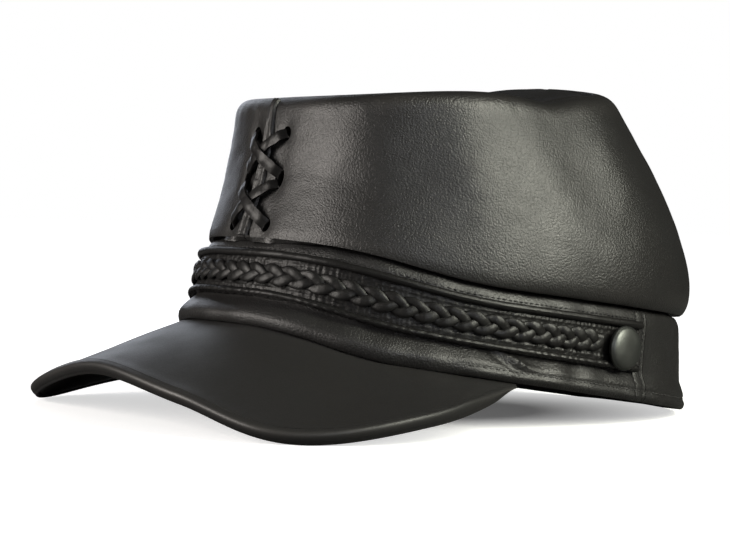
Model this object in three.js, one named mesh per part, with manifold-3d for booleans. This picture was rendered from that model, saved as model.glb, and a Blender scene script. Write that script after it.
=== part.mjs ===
// Leather kepi: a tall crown of two side walls and a sunken tip, a head band with a braided strap,
// two metal side buttons and a drooping peak. Millimetres, +Z up, front of the hat towards -Y.
import * as THREE from 'three';
import Module from 'manifold-3d';
import { mergeVertices } from 'three/addons/utils/BufferGeometryUtils.js';

const wasm = await Module();
wasm.setup();

// Hem, the lower edge of the band, measured from its lowest point at the back of the head
const hemLength = 206;
const hemWidth = 165.4;
const ringSquareness = 2.26;
const hemRise = 36.2;
const hemFrontLift = 7.6;
const hemLiftSpread = THREE.MathUtils.degToRad(32);

// Crease, where the crown turns in to meet the band
const creaseLength = 191.4;
const creaseWidth = 161.5;
const creaseSetback = 5.9;
const creaseBackHeight = 37.6;
const creaseRise = 27.4;
const creaseFrontLift = 9;
const creaseLiftSpread = THREE.MathUtils.degToRad(48);

// Rim, the rounded upper edge of the crown
const rimLength = 138.5;
const rimWidth = 130.7;
const rimSquareness = 2.61;
const rimSetforward = 5.9;
const rimHeight = 126.7;
const rimRadius = 6.5;
const rimWave = 6;
const tipSink = 8;

// Crown wall
const crownWall = 1.8;
const backFullness = 10.5;
const frontHollow = 2.2;
const lowerLip = 1;
const dentDepth = 1.6;

// Band wall
const bandWall = 2.4;
const bandTuck = 1;
const bandRoll = 2.2;
const strapSeat = 2.6;
const bandSeamAngle = THREE.MathUtils.degToRad(117);

// Strap, its rolled edges and its braid
const strapBottomShare = 0.304;
const strapTopShare = 0.865;
const strapThickness = 1;
const strapEndAngle = THREE.MathUtils.degToRad(113);
const pipingWidth = 3;
const braidWidth = 9;
const braidThickness = 1;
const braidRelief = 0.8;
const braidPitch = 7.6;
const braidEndAngle = THREE.MathUtils.degToRad(98);

// Side button
const buttonDiameter = 16.8;
const buttonCapHeight = 3.4;
const buttonShankDiameter = 8;
const buttonAngle = THREE.MathUtils.degToRad(105.5);
const buttonShare = 0.55;

// Front lacing
const laceWidth = 3.8;
const laceThickness = 1;
const laceReach = 21;
const laceTopDrop = 13.9;
const laceBottomRise = 5.4;
const laceHoleWidth = 5.4;
const laceHoleHeight = 6;
const lacePairSpread = 3.4;
const seamStripWidth = 6;
const seamStripThickness = 0.8;
const seamRidge = 0.5;

// Peak
const peakHalfAngle = THREE.MathUtils.degToRad(75.4);
const peakDepth = 61.4;
const peakDrop = 24.8;
const peakTurn = 0.793;
const peakLeather = 2.2;
const peakFacing = 1.5;
const peakEdgeWidth = 3.4;
const peakEdgeHeight = 5.1;
const peakFlange = 3.2;
const peakEndShare = 0.965;
const peakEndTaper = 0.68;

// Clearances between pieces, and how far leather flattens where it stands
const gap = 0.3;
const footFlat = 0.5;

// Waves of the rim, their heights as shares of rimWave
const rimWaves = [
  { angle: 66, spread: 26, height: 0.24 },
  { angle: 101, spread: 12, height: -0.4 },
  { angle: 189, spread: 47, height: 1 },
];

// Soft dents of the crown wall, their depths as shares of dentDepth
const crownDents = [
  { angle: 50, spread: 13, share: 0.55, tall: 0.45, depth: 1 },
  { angle: 118, spread: 10, share: 0.7, tall: 0.3, depth: 0.6 },
  { angle: -55, spread: 14, share: 0.5, tall: 0.4, depth: 0.8 },
  { angle: -120, spread: 16, share: 0.6, tall: 0.35, depth: 0.7 },
];

// Outline of the peak from its centre to its end, as shares of peakDepth and peakDrop
const peakOutline = [
  { along: 0, depth: 0.808, drop: 0.741 },
  { along: 0.25, depth: 0.851, drop: 0.947 },
  { along: 0.5, depth: 1, drop: 1 },
  { along: 0.75, depth: 0.71, drop: 0.584 },
  { along: 1, depth: 0, drop: 0.08 },
];

// Colours of the finishes
const finishes = {
  crownLeather: { color: 0x2a2827, roughness: 0.45, metalness: 0 },
  bandLeather: { color: 0x242322, roughness: 0.42, metalness: 0 },
  trimLeather: { color: 0x1f1e1d, roughness: 0.4, metalness: 0 },
  peakLeather: { color: 0x232323, roughness: 0.5, metalness: 0 },
  buttonMetal: { color: 0x5a5e5b, roughness: 0.35, metalness: 0.9 },
};

const kepi = new THREE.Group();

function addPiece(name, geometry, finish) {
  const mesh = new THREE.Mesh(geometry, new THREE.MeshStandardMaterial(finishes[finish]));
  mesh.name = name;
  kepi.add(mesh);
  return mesh;
}

function smoothStep(low, high, value) {
  return THREE.MathUtils.smoothstep(value, low, high);
}

// Bell curve of an angle in radians about a centre and spread in degrees
function bell(angle, centre, spread) {
  const degrees = THREE.MathUtils.radToDeg(angle) - centre;
  const turned = THREE.MathUtils.euclideanModulo(degrees + 180, 360) - 180;
  return Math.exp(-((turned / spread) ** 2));
}

// Raised stretch over the forehead
function frontLift(angle, height, spread) {
  return height * Math.exp(-((angle / spread) ** 4));
}

function ovalPoint(angle, length, width, squareness) {
  const side = Math.abs(Math.sin(angle)) / (width / 2);
  const front = Math.abs(Math.cos(angle)) / (length / 2);
  const reach = (side ** squareness + front ** squareness) ** (-1 / squareness);
  return new THREE.Vector3(reach * Math.sin(angle), -reach * Math.cos(angle), 0);
}

function hemPoint(angle) {
  const point = ovalPoint(angle, hemLength, hemWidth, ringSquareness);
  point.z = hemRise * (0.5 - point.y / hemLength);
  point.z += frontLift(angle, hemFrontLift, hemLiftSpread);
  return point;
}

function creasePoint(angle) {
  const point = ovalPoint(angle, creaseLength, creaseWidth, ringSquareness);
  point.z = creaseBackHeight + creaseRise * (0.5 - point.y / creaseLength);
  point.z += frontLift(angle, creaseFrontLift, creaseLiftSpread);
  point.y += creaseSetback;
  return point;
}

function rimPoint(angle) {
  const point = ovalPoint(angle, rimLength, rimWidth, rimSquareness);
  point.y -= rimSetforward;
  point.z = rimHeight;
  for (const wave of rimWaves) {
    point.z += rimWave * wave.height * bell(angle, wave.angle, wave.spread);
  }
  return point;
}

function outwards(angle) {
  return new THREE.Vector3(Math.sin(angle), -Math.cos(angle), 0);
}

// Wall of the crown from the crease, share 0, to the rim, share 1
function crownWallPoint(angle, share) {
  const point = creasePoint(angle).lerp(rimPoint(angle), share);
  const middle = (backFullness - frontHollow) / 2;
  const swing = (backFullness + frontHollow) / 2;
  let fullness = (middle - swing * Math.cos(angle)) * Math.sin(Math.PI * share ** 0.72);
  fullness += lowerLip * Math.sin(Math.PI * Math.sqrt(Math.min(share / 0.45, 1)));
  for (const dent of crownDents) {
    const height = Math.exp(-(((share - dent.share) / dent.tall) ** 2));
    fullness -= dentDepth * dent.depth * height * bell(angle, dent.angle, dent.spread);
  }
  return point.addScaledVector(outwards(angle), fullness);
}

// The crown's outer face: the wall up to shoulderShare, then the rounded rim up to share 1
const shoulderShare = 0.9;

function crownSurface(angle, share) {
  const crease = creasePoint(angle);
  const rim = rimPoint(angle);
  const shoulder = 1 - rimRadius / rim.distanceTo(crease);
  if (share <= shoulderShare) {
    return crownWallPoint(angle, Math.max(share, 0) * shoulder / shoulderShare);
  }
  const turn = (share - shoulderShare) / (1 - shoulderShare);
  const start = crownWallPoint(angle, shoulder);
  const end = rim.clone().addScaledVector(outwards(angle), -rimRadius);
  return start.multiplyScalar((1 - turn) ** 2)
    .addScaledVector(rim, 2 * turn * (1 - turn))
    .addScaledVector(end, turn ** 2);
}

// The band's outer face from the hem, share 0, to the crease, share 1
function bandSurface(angle, share) {
  const point = hemPoint(angle).lerp(creasePoint(angle), share);
  const fade = 0.62 + 0.38 * Math.cos(angle);
  const rolled = Math.sin(Math.PI * THREE.MathUtils.clamp(share / strapBottomShare, 0, 1));
  const seated = smoothStep(0.1, 0.33, share) * (1 - smoothStep(0.33, 1, share));
  const fullness = fade * (bandRoll * rolled - strapSeat * seated) - bandTuck * share ** 2;
  return point.addScaledVector(outwards(angle), fullness);
}

function bandHeight(angle) {
  return hemPoint(angle).distanceTo(creasePoint(angle));
}

// Rim line of the peak, its lowest visible edge; along runs from -1 to 1
const outlinePoints = [...peakOutline.slice(1).reverse().map((row) => ({ ...row, along: -row.along })), ...peakOutline];
const depthCurve = new THREE.SplineCurve(outlinePoints.map((row) => new THREE.Vector2(row.along, row.depth)));
const dropCurve = new THREE.SplineCurve(outlinePoints.map((row) => new THREE.Vector2(row.along, row.drop)));

function peakRim(along) {
  const angle = along * peakHalfAngle;
  const place = (along + 1) / 2;
  const depth = peakDepth * depthCurve.getPoint(place).y;
  const drop = peakDrop * dropCurve.getPoint(place).y;
  const point = hemPoint(angle).addScaledVector(outwards(angle * peakTurn), depth);
  point.z -= drop;
  return point;
}

// The layers of the peak thin out towards its two ends
function peakTaper(along) {
  return 1 - peakEndTaper * smoothStep(0.8, 1, Math.abs(along));
}

function peakReach(along) {
  return peakRim(along).distanceTo(hemPoint(along * peakHalfAngle));
}

// Upper face of the peak: out is 0 at the hem and 1 at the rim, and negative on the flange inside
function peakSurface(along, out) {
  const hem = hemPoint(along * peakHalfAngle);
  hem.z -= gap;
  if (out < 0) {
    return hem.addScaledVector(outwards(along * peakHalfAngle), out * peakReach(along));
  }
  const rim = peakRim(along);
  rim.z += peakEdgeHeight * peakTaper(along);
  return hem.lerp(rim, out);
}

function normalOf(surface, across, along) {
  const step = 0.002;
  const first = surface(across + step, along).sub(surface(across - step, along));
  const second = surface(across, along + step).sub(surface(across, along - step));
  return first.cross(second).normalize();
}

function raised(surface, across, along, height) {
  return surface(across, along).addScaledVector(normalOf(surface, across, along), height);
}

function span(start, end, count) {
  return Array.from({ length: count + 1 }, (_, index) => start + (end - start) * index / count);
}

// Closed solid between an outer and an inner sheet of points, both as columns of rows
function solidBetween(outer, inner) {
  const columns = outer.length;
  const rows = outer[0].length;
  const positions = [...outer.flat(), ...inner.flat()].flatMap((point) => point.toArray());
  const out = (column, row) => column * rows + row;
  const into = (column, row) => columns * rows + column * rows + row;
  const faces = [];
  const quad = (a, b, c, d) => faces.push(a, b, c, a, c, d);
  for (let column = 0; column < columns - 1; column += 1) {
    const next = column + 1;
    for (let row = 0; row < rows - 1; row += 1) {
      quad(out(column, row), out(next, row), out(next, row + 1), out(column, row + 1));
      quad(into(column, row), into(column, row + 1), into(next, row + 1), into(next, row));
    }
    quad(into(column, 0), into(next, 0), out(next, 0), out(column, 0));
    quad(into(column, rows - 1), out(column, rows - 1), out(next, rows - 1), into(next, rows - 1));
  }
  for (let row = 0; row < rows - 1; row += 1) {
    const last = columns - 1;
    quad(into(0, row), out(0, row), out(0, row + 1), into(0, row + 1));
    quad(into(last, row), into(last, row + 1), out(last, row + 1), out(last, row));
  }
  const geometry = new THREE.BufferGeometry();
  geometry.setAttribute('position', new THREE.Float32BufferAttribute(positions, 3));
  geometry.setIndex(faces);
  return geometry;
}

// Layer of a surface between two heights above it
function layer(surface, columns, rows, top, bottom) {
  const sheet = (height) => columns.map((across) => rows.map((along) => raised(surface, across, along, height)));
  return solidBetween(sheet(top), sheet(bottom));
}

// Geometry of a three.js class as one closed sheet, its shared vertices merged
function closedSheet(geometry) {
  const bare = new THREE.BufferGeometry();
  bare.setAttribute('position', geometry.getAttribute('position'));
  bare.setIndex(geometry.getIndex());
  return mergeVertices(bare, 1e-3);
}

function toSolid(geometry) {
  const vertProperties = new Float32Array(geometry.getAttribute('position').array);
  const triVerts = new Uint32Array(geometry.getIndex().array);
  return new wasm.Manifold(new wasm.Mesh({ numProp: 3, vertProperties, triVerts }));
}

function toGeometry(solid) {
  const mesh = solid.getMesh();
  const geometry = new THREE.BufferGeometry();
  geometry.setAttribute('position', new THREE.Float32BufferAttribute(mesh.vertProperties, 3));
  geometry.setIndex(Array.from(mesh.triVerts));
  return geometry;
}

function cut(geometry, cutters) {
  let solid = toSolid(geometry);
  for (const cutter of cutters) {
    solid = solid.subtract(toSolid(cutter));
  }
  return toGeometry(solid);
}

// Places on the front of the crown, in millimetres from the seam and below the rim
function frontAngle(distance, share) {
  return Math.atan2(distance, -crownSurface(0, share).y);
}

const frontWallHeight = rimPoint(0).z - creasePoint(0).z;

function shareBelowRim(drop) {
  return shoulderShare * (frontWallHeight - drop) / (frontWallHeight - rimRadius);
}

// Three rows of holes, evenly spaced from below the rim to above the crease
const laceRowSpacing = (frontWallHeight - laceTopDrop - laceBottomRise) / 2;
const laceRows = [0, 1, 2].map((row) => shareBelowRim(laceTopDrop + row * laceRowSpacing));

// Oval hole through the crown wall, square to its face
function laceHole(side, row) {
  const share = laceRows[row];
  const angle = side * frontAngle(laceReach / 2, share);
  const height = laceHoleHeight + (row === 1 ? lacePairSpread : 0);
  const radius = laceHoleWidth / 2;
  const hole = closedSheet(new THREE.CylinderGeometry(radius, radius, 6 * crownWall, 14));
  hole.scale(1, 1, height / laceHoleWidth);
  const normal = normalOf(crownSurface, angle, share);
  const level = new THREE.Vector3(0, 0, 1).cross(normal).normalize();
  const upright = normal.clone().cross(level);
  const basis = new THREE.Matrix4().makeBasis(level, normal, upright.negate());
  basis.setPosition(crownSurface(angle, share));
  return hole.applyMatrix4(basis);
}

// Crown
const crownRows = [0, 0.04, 0.1, 0.19, 0.31, 0.44, 0.58, 0.74, 0.9, 0.93, 0.965, 1];
const seamTurn = gap / rimLength;

function buildCrownSide(name, side) {
  const ends = side > 0 ? [seamTurn, Math.PI - seamTurn] : [seamTurn - Math.PI, -seamTurn];
  const wall = layer(crownSurface, span(ends[0], ends[1], 24), crownRows, 0, -crownWall);
  addPiece(name, cut(wall, [0, 1, 2].map((row) => laceHole(side, row))), 'crownLeather');
}

// The tip sinks from the rim towards its middle
function buildCrownTop() {
  const sectors = 32;
  const rings = [0.35, 0.6, 0.82, 1];
  const edge = span(0, 2 * Math.PI, sectors).slice(0, sectors)
    .map((angle) => rimPoint(angle).addScaledVector(outwards(angle), -rimRadius - gap));
  const centre = new THREE.Vector3(0, -rimSetforward, rimHeight - tipSink);
  const ringPoint = (sector, ring) => {
    const point = centre.clone().lerp(edge[sector % sectors], ring);
    point.z = THREE.MathUtils.lerp(centre.z, edge[sector % sectors].z, smoothStep(0, 1, ring));
    return point;
  };
  const positions = [];
  for (const drop of [0, crownWall]) {
    positions.push(centre.x, centre.y, centre.z - drop);
    for (const ring of rings) {
      for (let sector = 0; sector < sectors; sector += 1) {
        const point = ringPoint(sector, ring);
        positions.push(point.x, point.y, point.z - drop);
      }
    }
  }
  const perFace = 1 + rings.length * sectors;
  const at = (face, ring, sector) => face * perFace + 1 + ring * sectors + sector % sectors;
  const faces = [];
  const last = rings.length - 1;
  for (let sector = 0; sector < sectors; sector += 1) {
    faces.push(0, at(0, 0, sector), at(0, 0, sector + 1));
    faces.push(perFace, at(1, 0, sector + 1), at(1, 0, sector));
    for (let ring = 0; ring < last; ring += 1) {
      const [a, b, c, d] = [[ring, sector], [ring + 1, sector], [ring + 1, sector + 1], [ring, sector + 1]];
      const top = [a, b, c, d].map((place) => at(0, ...place));
      const under = [a, b, c, d].map((place) => at(1, ...place));
      faces.push(top[0], top[1], top[2], top[0], top[2], top[3]);
      faces.push(under[0], under[2], under[1], under[0], under[3], under[2]);
    }
    const rimEdge = [at(0, last, sector), at(1, last, sector), at(1, last, sector + 1), at(0, last, sector + 1)];
    faces.push(rimEdge[0], rimEdge[1], rimEdge[2], rimEdge[0], rimEdge[2], rimEdge[3]);
  }
  const geometry = new THREE.BufferGeometry();
  geometry.setAttribute('position', new THREE.Float32BufferAttribute(positions, 3));
  geometry.setIndex(faces);
  addPiece('crown_top', geometry, 'crownLeather');
}

// Strip over the front seam, with a raised ridge along each side
function buildSeamStrip() {
  const crossSection = [
    { place: -0.5, ridge: 0 },
    { place: -0.3, ridge: 1 },
    { place: -0.14, ridge: 0 },
    { place: 0.14, ridge: 0 },
    { place: 0.3, ridge: 1 },
    { place: 0.5, ridge: 0 },
  ];
  const rows = [0.03, 0.2, 0.37, 0.54, 0.7, 0.84, 0.9, 0.94];
  const sheet = (thickness, ridge) => crossSection.map((line) => rows.map((share) => {
    const angle = frontAngle(line.place * seamStripWidth, share);
    return raised(crownSurface, angle, share, gap + thickness + ridge * line.ridge);
  }));
  addPiece('front_seam_strip', solidBetween(sheet(seamStripThickness, seamRidge), sheet(0, 0)), 'trimLeather');
}

// Thong from a hole on one side to the next lower hole on the other side
function buildLace(name, startSide, row, level) {
  const overStrip = 2 * gap + seamStripThickness + seamRidge + laceThickness / 2;
  const crossing = overStrip + level * (laceThickness + gap);
  const beside = gap + laceThickness / 2;
  const rise = frontWallHeight - rimRadius;
  const shift = lacePairSpread / 2 / rise * shoulderShare;
  const startShare = laceRows[row] - (row === 1 ? shift : 0);
  const endShare = laceRows[row + 1] + (row === 0 ? shift : 0);
  const steps = [0, 0.035, 0.07, 0.2, 0.33, 0.5, 0.67, 0.8, 0.93, 0.965, 1];
  const place = (step) => {
    const share = THREE.MathUtils.lerp(startShare, endShare, step);
    const distance = THREE.MathUtils.lerp(startSide, -startSide, step) * laceReach / 2;
    const end = Math.min(step, 1 - step);
    const sink = (beside + crownWall * 0.6) * (1 - smoothStep(0, 0.07, end));
    const hump = (crossing - beside) * Math.exp(-(((step - 0.5) / 0.3) ** 4));
    return { angle: frontAngle(distance, share), share, height: beside + hump - sink };
  };
  const centreAt = (step) => {
    const spot = place(step);
    return raised(crownSurface, spot.angle, spot.share, spot.height);
  };
  const edge = (side, face) => (step) => {
    const spot = place(step);
    const normal = normalOf(crownSurface, spot.angle, spot.share);
    const run = centreAt(step + 0.01).sub(centreAt(step - 0.01)).normalize();
    const across = normal.clone().cross(run).normalize();
    const up = run.clone().cross(across);
    return centreAt(step).addScaledVector(across, side * laceWidth / 2).addScaledVector(up, face * laceThickness / 2);
  };
  const sheet = (face) => steps.map((step) => [edge(-1, face)(step), edge(1, face)(step)]);
  addPiece(name, solidBetween(sheet(1), sheet(-1)), 'trimLeather');
}

// Band
function buildBand(name, start, end, count) {
  const topShare = (angle) => 1 - gap / bandHeight(angle);
  const rows = [0, 0.1, 0.21, 0.3, 0.36, 0.46, 0.66, 1];
  const surface = (angle, share) => bandSurface(angle, share * topShare(angle));
  return layer(surface, span(start, end, count), rows, 0, -bandWall);
}

// Strap pieces lie on the band; heights above the hem are shares of the band
function shareOnBand(angle, share, shift) {
  return share + shift / bandHeight(angle);
}

const strapColumns = span(-strapEndAngle, strapEndAngle, 40);

function buildPiping(name, edgeShare, side) {
  const radius = pipingWidth / 2;
  const sectionAngles = [-60, 0, 60].map((degrees) => THREE.MathUtils.degToRad(degrees));
  const ring = (angle, turn) => {
    const share = shareOnBand(angle, edgeShare, radius * (Math.sin(turn) - side));
    return raised(bandSurface, angle, share, gap + radius + radius * Math.cos(turn));
  };
  const columns = strapColumns;
  const outer = columns.map((angle) => sectionAngles.map((turn) => ring(angle, turn)));
  const inner = columns.map((angle) => sectionAngles.map((turn) => ring(angle, Math.PI - turn)));
  addPiece(name, solidBetween(outer, inner), 'trimLeather');
}

function buildStrap() {
  const inset = pipingWidth + gap;
  const columns = strapColumns;
  const sheet = (height) => columns.map((angle) => [
    raised(bandSurface, angle, shareOnBand(angle, strapBottomShare, inset), height),
    raised(bandSurface, angle, shareOnBand(angle, strapTopShare, -inset), height),
  ]);
  addPiece('strap', solidBetween(sheet(gap + strapThickness), sheet(gap)), 'trimLeather');
}

// Flat plait: two rows of lobes, leaning towards each other and half a pitch apart
function buildBraid() {
  const middle = (strapBottomShare + strapTopShare) / 2;
  const base = 2 * gap + strapThickness;
  const meanReach = (hemLength + hemWidth) / 4;
  const lobes = Math.round(2 * braidEndAngle * meanReach / braidPitch);
  const columns = span(-braidEndAngle, braidEndAngle, lobes * 3);
  const lines = [-0.5, -0.27, 0, 0.27, 0.5];
  const relief = (angle, line) => {
    const along = (angle + braidEndAngle) / (2 * braidEndAngle) * lobes + (line > 0 ? 0.5 : 0);
    const lean = along + 0.9 * Math.abs(line);
    const lobe = Math.abs(Math.sin(Math.PI * lean));
    const across = 1 - (Math.abs(Math.abs(line) - 0.25) / 0.27) ** 2;
    return Math.max(across, 0) * (0.35 + 0.65 * lobe);
  };
  const point = (angle, line, height) => {
    const share = shareOnBand(angle, middle, line * braidWidth);
    return raised(bandSurface, angle, share, height);
  };
  const outer = columns.map((angle) => lines.map((line) => (
    point(angle, line, base + braidThickness + braidRelief * relief(angle, line)))));
  const inner = columns.map((angle) => lines.map((line) => point(angle, line, base)));
  addPiece('braid', solidBetween(outer, inner), 'trimLeather');
}

// Domed cap on a short shank that stands on the strap
function buildButton(name, side) {
  const seat = 2 * gap + strapThickness;
  const underCap = pipingWidth + 2 * gap;
  const radius = buttonDiameter / 2;
  const profile = [
    [0, seat],
    [buttonShankDiameter / 2, seat],
    [buttonShankDiameter / 2, underCap],
    [radius * 0.94, underCap],
    [radius, underCap + buttonCapHeight * 0.2],
    [radius * 0.97, underCap + buttonCapHeight * 0.42],
    [radius * 0.82, underCap + buttonCapHeight * 0.7],
    [radius * 0.45, underCap + buttonCapHeight * 0.94],
    [0, underCap + buttonCapHeight],
  ].map(([across, up]) => new THREE.Vector2(across, up));
  const button = addPiece(name, new THREE.LatheGeometry(profile, 14), 'buttonMetal');
  const angle = side * buttonAngle;
  button.position.copy(bandSurface(angle, buttonShare));
  button.quaternion.setFromUnitVectors(new THREE.Vector3(0, 1, 0), normalOf(bandSurface, angle, buttonShare));
}

// Peak: layers below its upper face, ending inside the rolled edge
const peakRows = [0, 0.15, 0.42, 0.72, 1];

function buildPeakLayer(name, top, bottom) {
  const columns = span(-peakEndShare, peakEndShare, 28);
  const sheet = (depth) => columns.map((along) => {
    const reach = peakReach(along);
    const outer = 1 - (peakEdgeWidth + gap) / reach;
    const places = [-peakFlange / reach, ...peakRows.map((row) => row * outer)];
    return places.map((out) => {
      const point = peakSurface(along, out);
      const down = normalOf(peakSurface, along, Math.max(out, 0.05));
      return point.addScaledVector(down, depth * peakTaper(along));
    });
  });
  addPiece(name, solidBetween(sheet(bottom), sheet(top)), 'peakLeather');
}

function buildPeakEdge() {
  const columns = span(-peakEndShare, peakEndShare, 32);
  const sectionAngles = [-67.5, -22.5, 22.5, 67.5].map((degrees) => THREE.MathUtils.degToRad(degrees));
  const ring = (along, turn) => {
    const rim = peakRim(along);
    const out = outwards(along * peakHalfAngle * peakTurn);
    const height = peakEdgeHeight * peakTaper(along) / 2;
    rim.addScaledVector(out, peakEdgeWidth / 2 * (Math.cos(turn) - 1));
    rim.z += height * (1 + Math.sin(turn));
    return rim;
  };
  const outer = columns.map((along) => sectionAngles.map((turn) => ring(along, turn)));
  const inner = columns.map((along) => sectionAngles.map((turn) => ring(along, Math.PI - turn)));
  return solidBetween(outer, inner);
}

buildCrownSide('crown_side_left', 1);
buildCrownSide('crown_side_right', -1);
buildCrownTop();
buildSeamStrip();
buildLace('lace_upper_over', -1, 0, 1);
buildLace('lace_upper_under', 1, 0, 0);
buildLace('lace_lower_over', -1, 1, 1);
buildLace('lace_lower_under', 1, 1, 0);
buildStrap();
buildPiping('strap_piping_upper', strapTopShare, 1);
buildPiping('strap_piping_lower', strapBottomShare, -1);
buildBraid();
buildButton('button_left', 1);
buildButton('button_right', -1);
buildPeakLayer('peak', 0, peakLeather);
buildPeakLayer('peak_facing', peakLeather + gap, peakLeather + gap + peakFacing);

// The hat leans forward until it stands on the back of its hem and on both droops of its peak
const seamHalfGap = gap / hemWidth;
const bandFront = buildBand('band_front', seamHalfGap - bandSeamAngle, bandSeamAngle - seamHalfGap, 34);
const bandBack = buildBand('band_back', bandSeamAngle + seamHalfGap, 2 * Math.PI - bandSeamAngle - seamHalfGap, 16);
const peakEdge = buildPeakEdge();
const heel = hemPoint(Math.PI);

function leanToStand(geometry) {
  const place = geometry.getAttribute('position');
  const vertices = Array.from({ length: place.count }, (_, index) => new THREE.Vector3().fromBufferAttribute(place, index));
  return Math.min(...vertices.map((point) => Math.atan2(point.z - heel.z, heel.y - point.y)));
}

kepi.rotation.x = leanToStand(peakEdge);

// Leather flattened on the surface that the hat stands on
const floorBlock = closedSheet(new THREE.BoxGeometry(3 * hemLength, 3 * hemLength, hemLength));
floorBlock.translate(0, 0, footFlat - hemLength / 2);
floorBlock.rotateX(-kepi.rotation.x);
floorBlock.translate(0, heel.y, heel.z);

addPiece('band_front', bandFront, 'bandLeather');
addPiece('band_back', cut(bandBack, [floorBlock]), 'bandLeather');
addPiece('peak_edge', cut(peakEdge, [floorBlock]), 'peakLeather');

// Origin on that surface, under the middle of the hat's box
kepi.updateMatrixWorld(true);
const box = new THREE.Box3().setFromObject(kepi, true);
kepi.position.set(-(box.min.x + box.max.x) / 2, -(box.min.y + box.max.y) / 2, -box.min.z);

export default kepi;
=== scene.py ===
"""Looks of a black leather kepi: crown, band, braided strap, buttons and peak, in a plain studio."""
from __future__ import annotations

import logging
import math
from contextlib import contextmanager
from dataclasses import dataclass, field, replace
from enum import Enum, IntEnum
from typing import Callable, Iterator, Sequence, Union

import bpy
import numpy as np
from mathutils import Matrix, Vector


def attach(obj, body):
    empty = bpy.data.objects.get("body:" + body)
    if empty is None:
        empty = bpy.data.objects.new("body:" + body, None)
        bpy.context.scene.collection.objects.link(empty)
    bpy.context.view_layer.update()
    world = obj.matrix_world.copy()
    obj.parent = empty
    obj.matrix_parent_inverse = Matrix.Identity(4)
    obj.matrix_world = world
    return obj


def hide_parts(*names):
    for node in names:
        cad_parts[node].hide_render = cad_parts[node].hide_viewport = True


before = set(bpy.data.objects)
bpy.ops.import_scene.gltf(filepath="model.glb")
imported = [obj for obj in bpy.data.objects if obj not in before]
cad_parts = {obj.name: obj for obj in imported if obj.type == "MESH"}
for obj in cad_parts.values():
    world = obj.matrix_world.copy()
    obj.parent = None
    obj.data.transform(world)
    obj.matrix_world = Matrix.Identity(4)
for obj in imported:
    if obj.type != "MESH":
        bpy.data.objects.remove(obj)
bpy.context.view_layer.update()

log = logging.getLogger("kepi")
MM = 0.001
Points = np.ndarray
Surface = Callable[[Points, Points], Points]
Pattern = Callable[[Points, Points, Points], Points]
Colour = tuple[float, float, float]
Place = tuple[float, float, float]


class Side(Enum):
    """The wearer's side of the hat, with the sign of its angles from the front."""

    LEFT = 1
    RIGHT = -1


class Seed(IntEnum):
    """Seeds of the uneven patterns."""

    SOFT_WALL = 3
    RIPPLES = 5
    PUCKERS = 11
    PUCKER_GROUPS = 12
    WALL_WEAR = 15
    TIP_FOLDS = 21
    STRIP_FOLDS = 31
    LACE_CREASES = 41
    BAND_FOLDS = 51
    GATHERS = 61
    GATHER_HEIGHTS = 62
    GATHER_LUMPS = 63
    PIPING_PUCKERS = 71
    PIPING_SWELLS = 72
    PLAIT_DRIFT = 80
    STRAND_WIDTHS = 81
    STRAND_DEPTHS = 91
    PEAK_FOLDS = 101
    EDGE_WEAR = 103


def smooth_step(low: float, high: float, value: Points) -> Points:
    """Returns 0 below low, 1 above high and an even S-curve between them."""
    turn = np.clip((value - low) / (high - low), 0.0, 1.0)
    return turn * turn * (3.0 - 2.0 * turn)


def groove(distance: Points, width: float) -> Points:
    """Returns 1 on a line and falls to 0 about two widths away from it."""
    return np.exp(-((distance / width) ** 2))


def bell(angle: Points, centre: float, spread: float) -> Points:
    """Bell curve of an angle in radians about a centre and spread in degrees."""
    beside = (np.degrees(angle) - centre + 180.0) % 360.0 - 180.0
    return groove(beside, spread)


def turned(angle: Points) -> Points:
    """The angle from the front, between half a turn to either side."""
    return (angle + math.pi) % math.tau - math.pi


def outwards(angle: Points) -> Points:
    """Level direction away from the middle of the head at an angle from the front."""
    return np.stack([np.sin(angle), -np.cos(angle), np.zeros_like(angle)], axis=-1)


def uneven(across: Points, along: Points, length: float, seed: int, waves: int = 9) -> Points:
    """Soft unevenness of hand-worked leather, the same in each run.

    Args:
        across: distance round the hat in metres.
        along: distance up the hat in metres.
        length: usual distance from hollow to hollow in metres.
        seed: chooses the pattern.
        waves: how many waves are added together.

    Returns:
        Heights of about -1 to 1.
    """
    chance = np.random.default_rng(seed)
    total = np.zeros(np.broadcast(across, along).shape)
    for _ in range(waves):
        heading = chance.uniform(0.0, math.tau)
        reach = length * chance.uniform(0.7, 1.6)
        phase = chance.uniform(0.0, math.tau)
        distance = across * math.cos(heading) + along * math.sin(heading)
        total = total + np.sin(math.tau * distance / reach + phase)
    return total / math.sqrt(waves)


def gathers(across: Points, pitch: float, seed: int) -> Points:
    """Irregular small folds side by side, 0 in a crease and 1 on a fold."""
    drift = uneven(across, np.zeros_like(across), 5.0 * pitch, seed, 4)
    return np.abs(np.sin(math.pi * across / pitch + 1.4 * drift)) ** 0.7


def normals_of(surface: Surface, across: Points, along: Points) -> Points:
    """Unit normals of a surface, worked out from points close by.

    Args:
        surface: gives the points of the surface.
        across: first coordinate on the surface.
        along: second coordinate on the surface.

    Returns:
        Unit vectors that point off the surface.
    """
    step = 0.002
    first = surface(across + step, along) - surface(across - step, along)
    second = surface(across, along + step) - surface(across, along - step)
    normal = np.cross(first, second)
    return normal / np.linalg.norm(normal, axis=-1, keepdims=True)


def raised(surface: Surface, across: Points, along: Points, height: Points) -> Points:
    """Points at a height above a surface."""
    lift = np.broadcast_to(height, across.shape)[..., None]
    return surface(across, along) + normals_of(surface, across, along) * lift


@dataclass(frozen=True)
class Bulge:
    """Rise or dent of the leather at one place; angle and spread in degrees, depth in metres."""

    angle: float
    spread: float
    depth: float
    share: float = 0.5
    tall: float = 10.0


@dataclass(frozen=True)
class PeakStation:
    """Outline of the peak at one place between its centre and its end."""

    along: float
    depth: float
    drop: float


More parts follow.
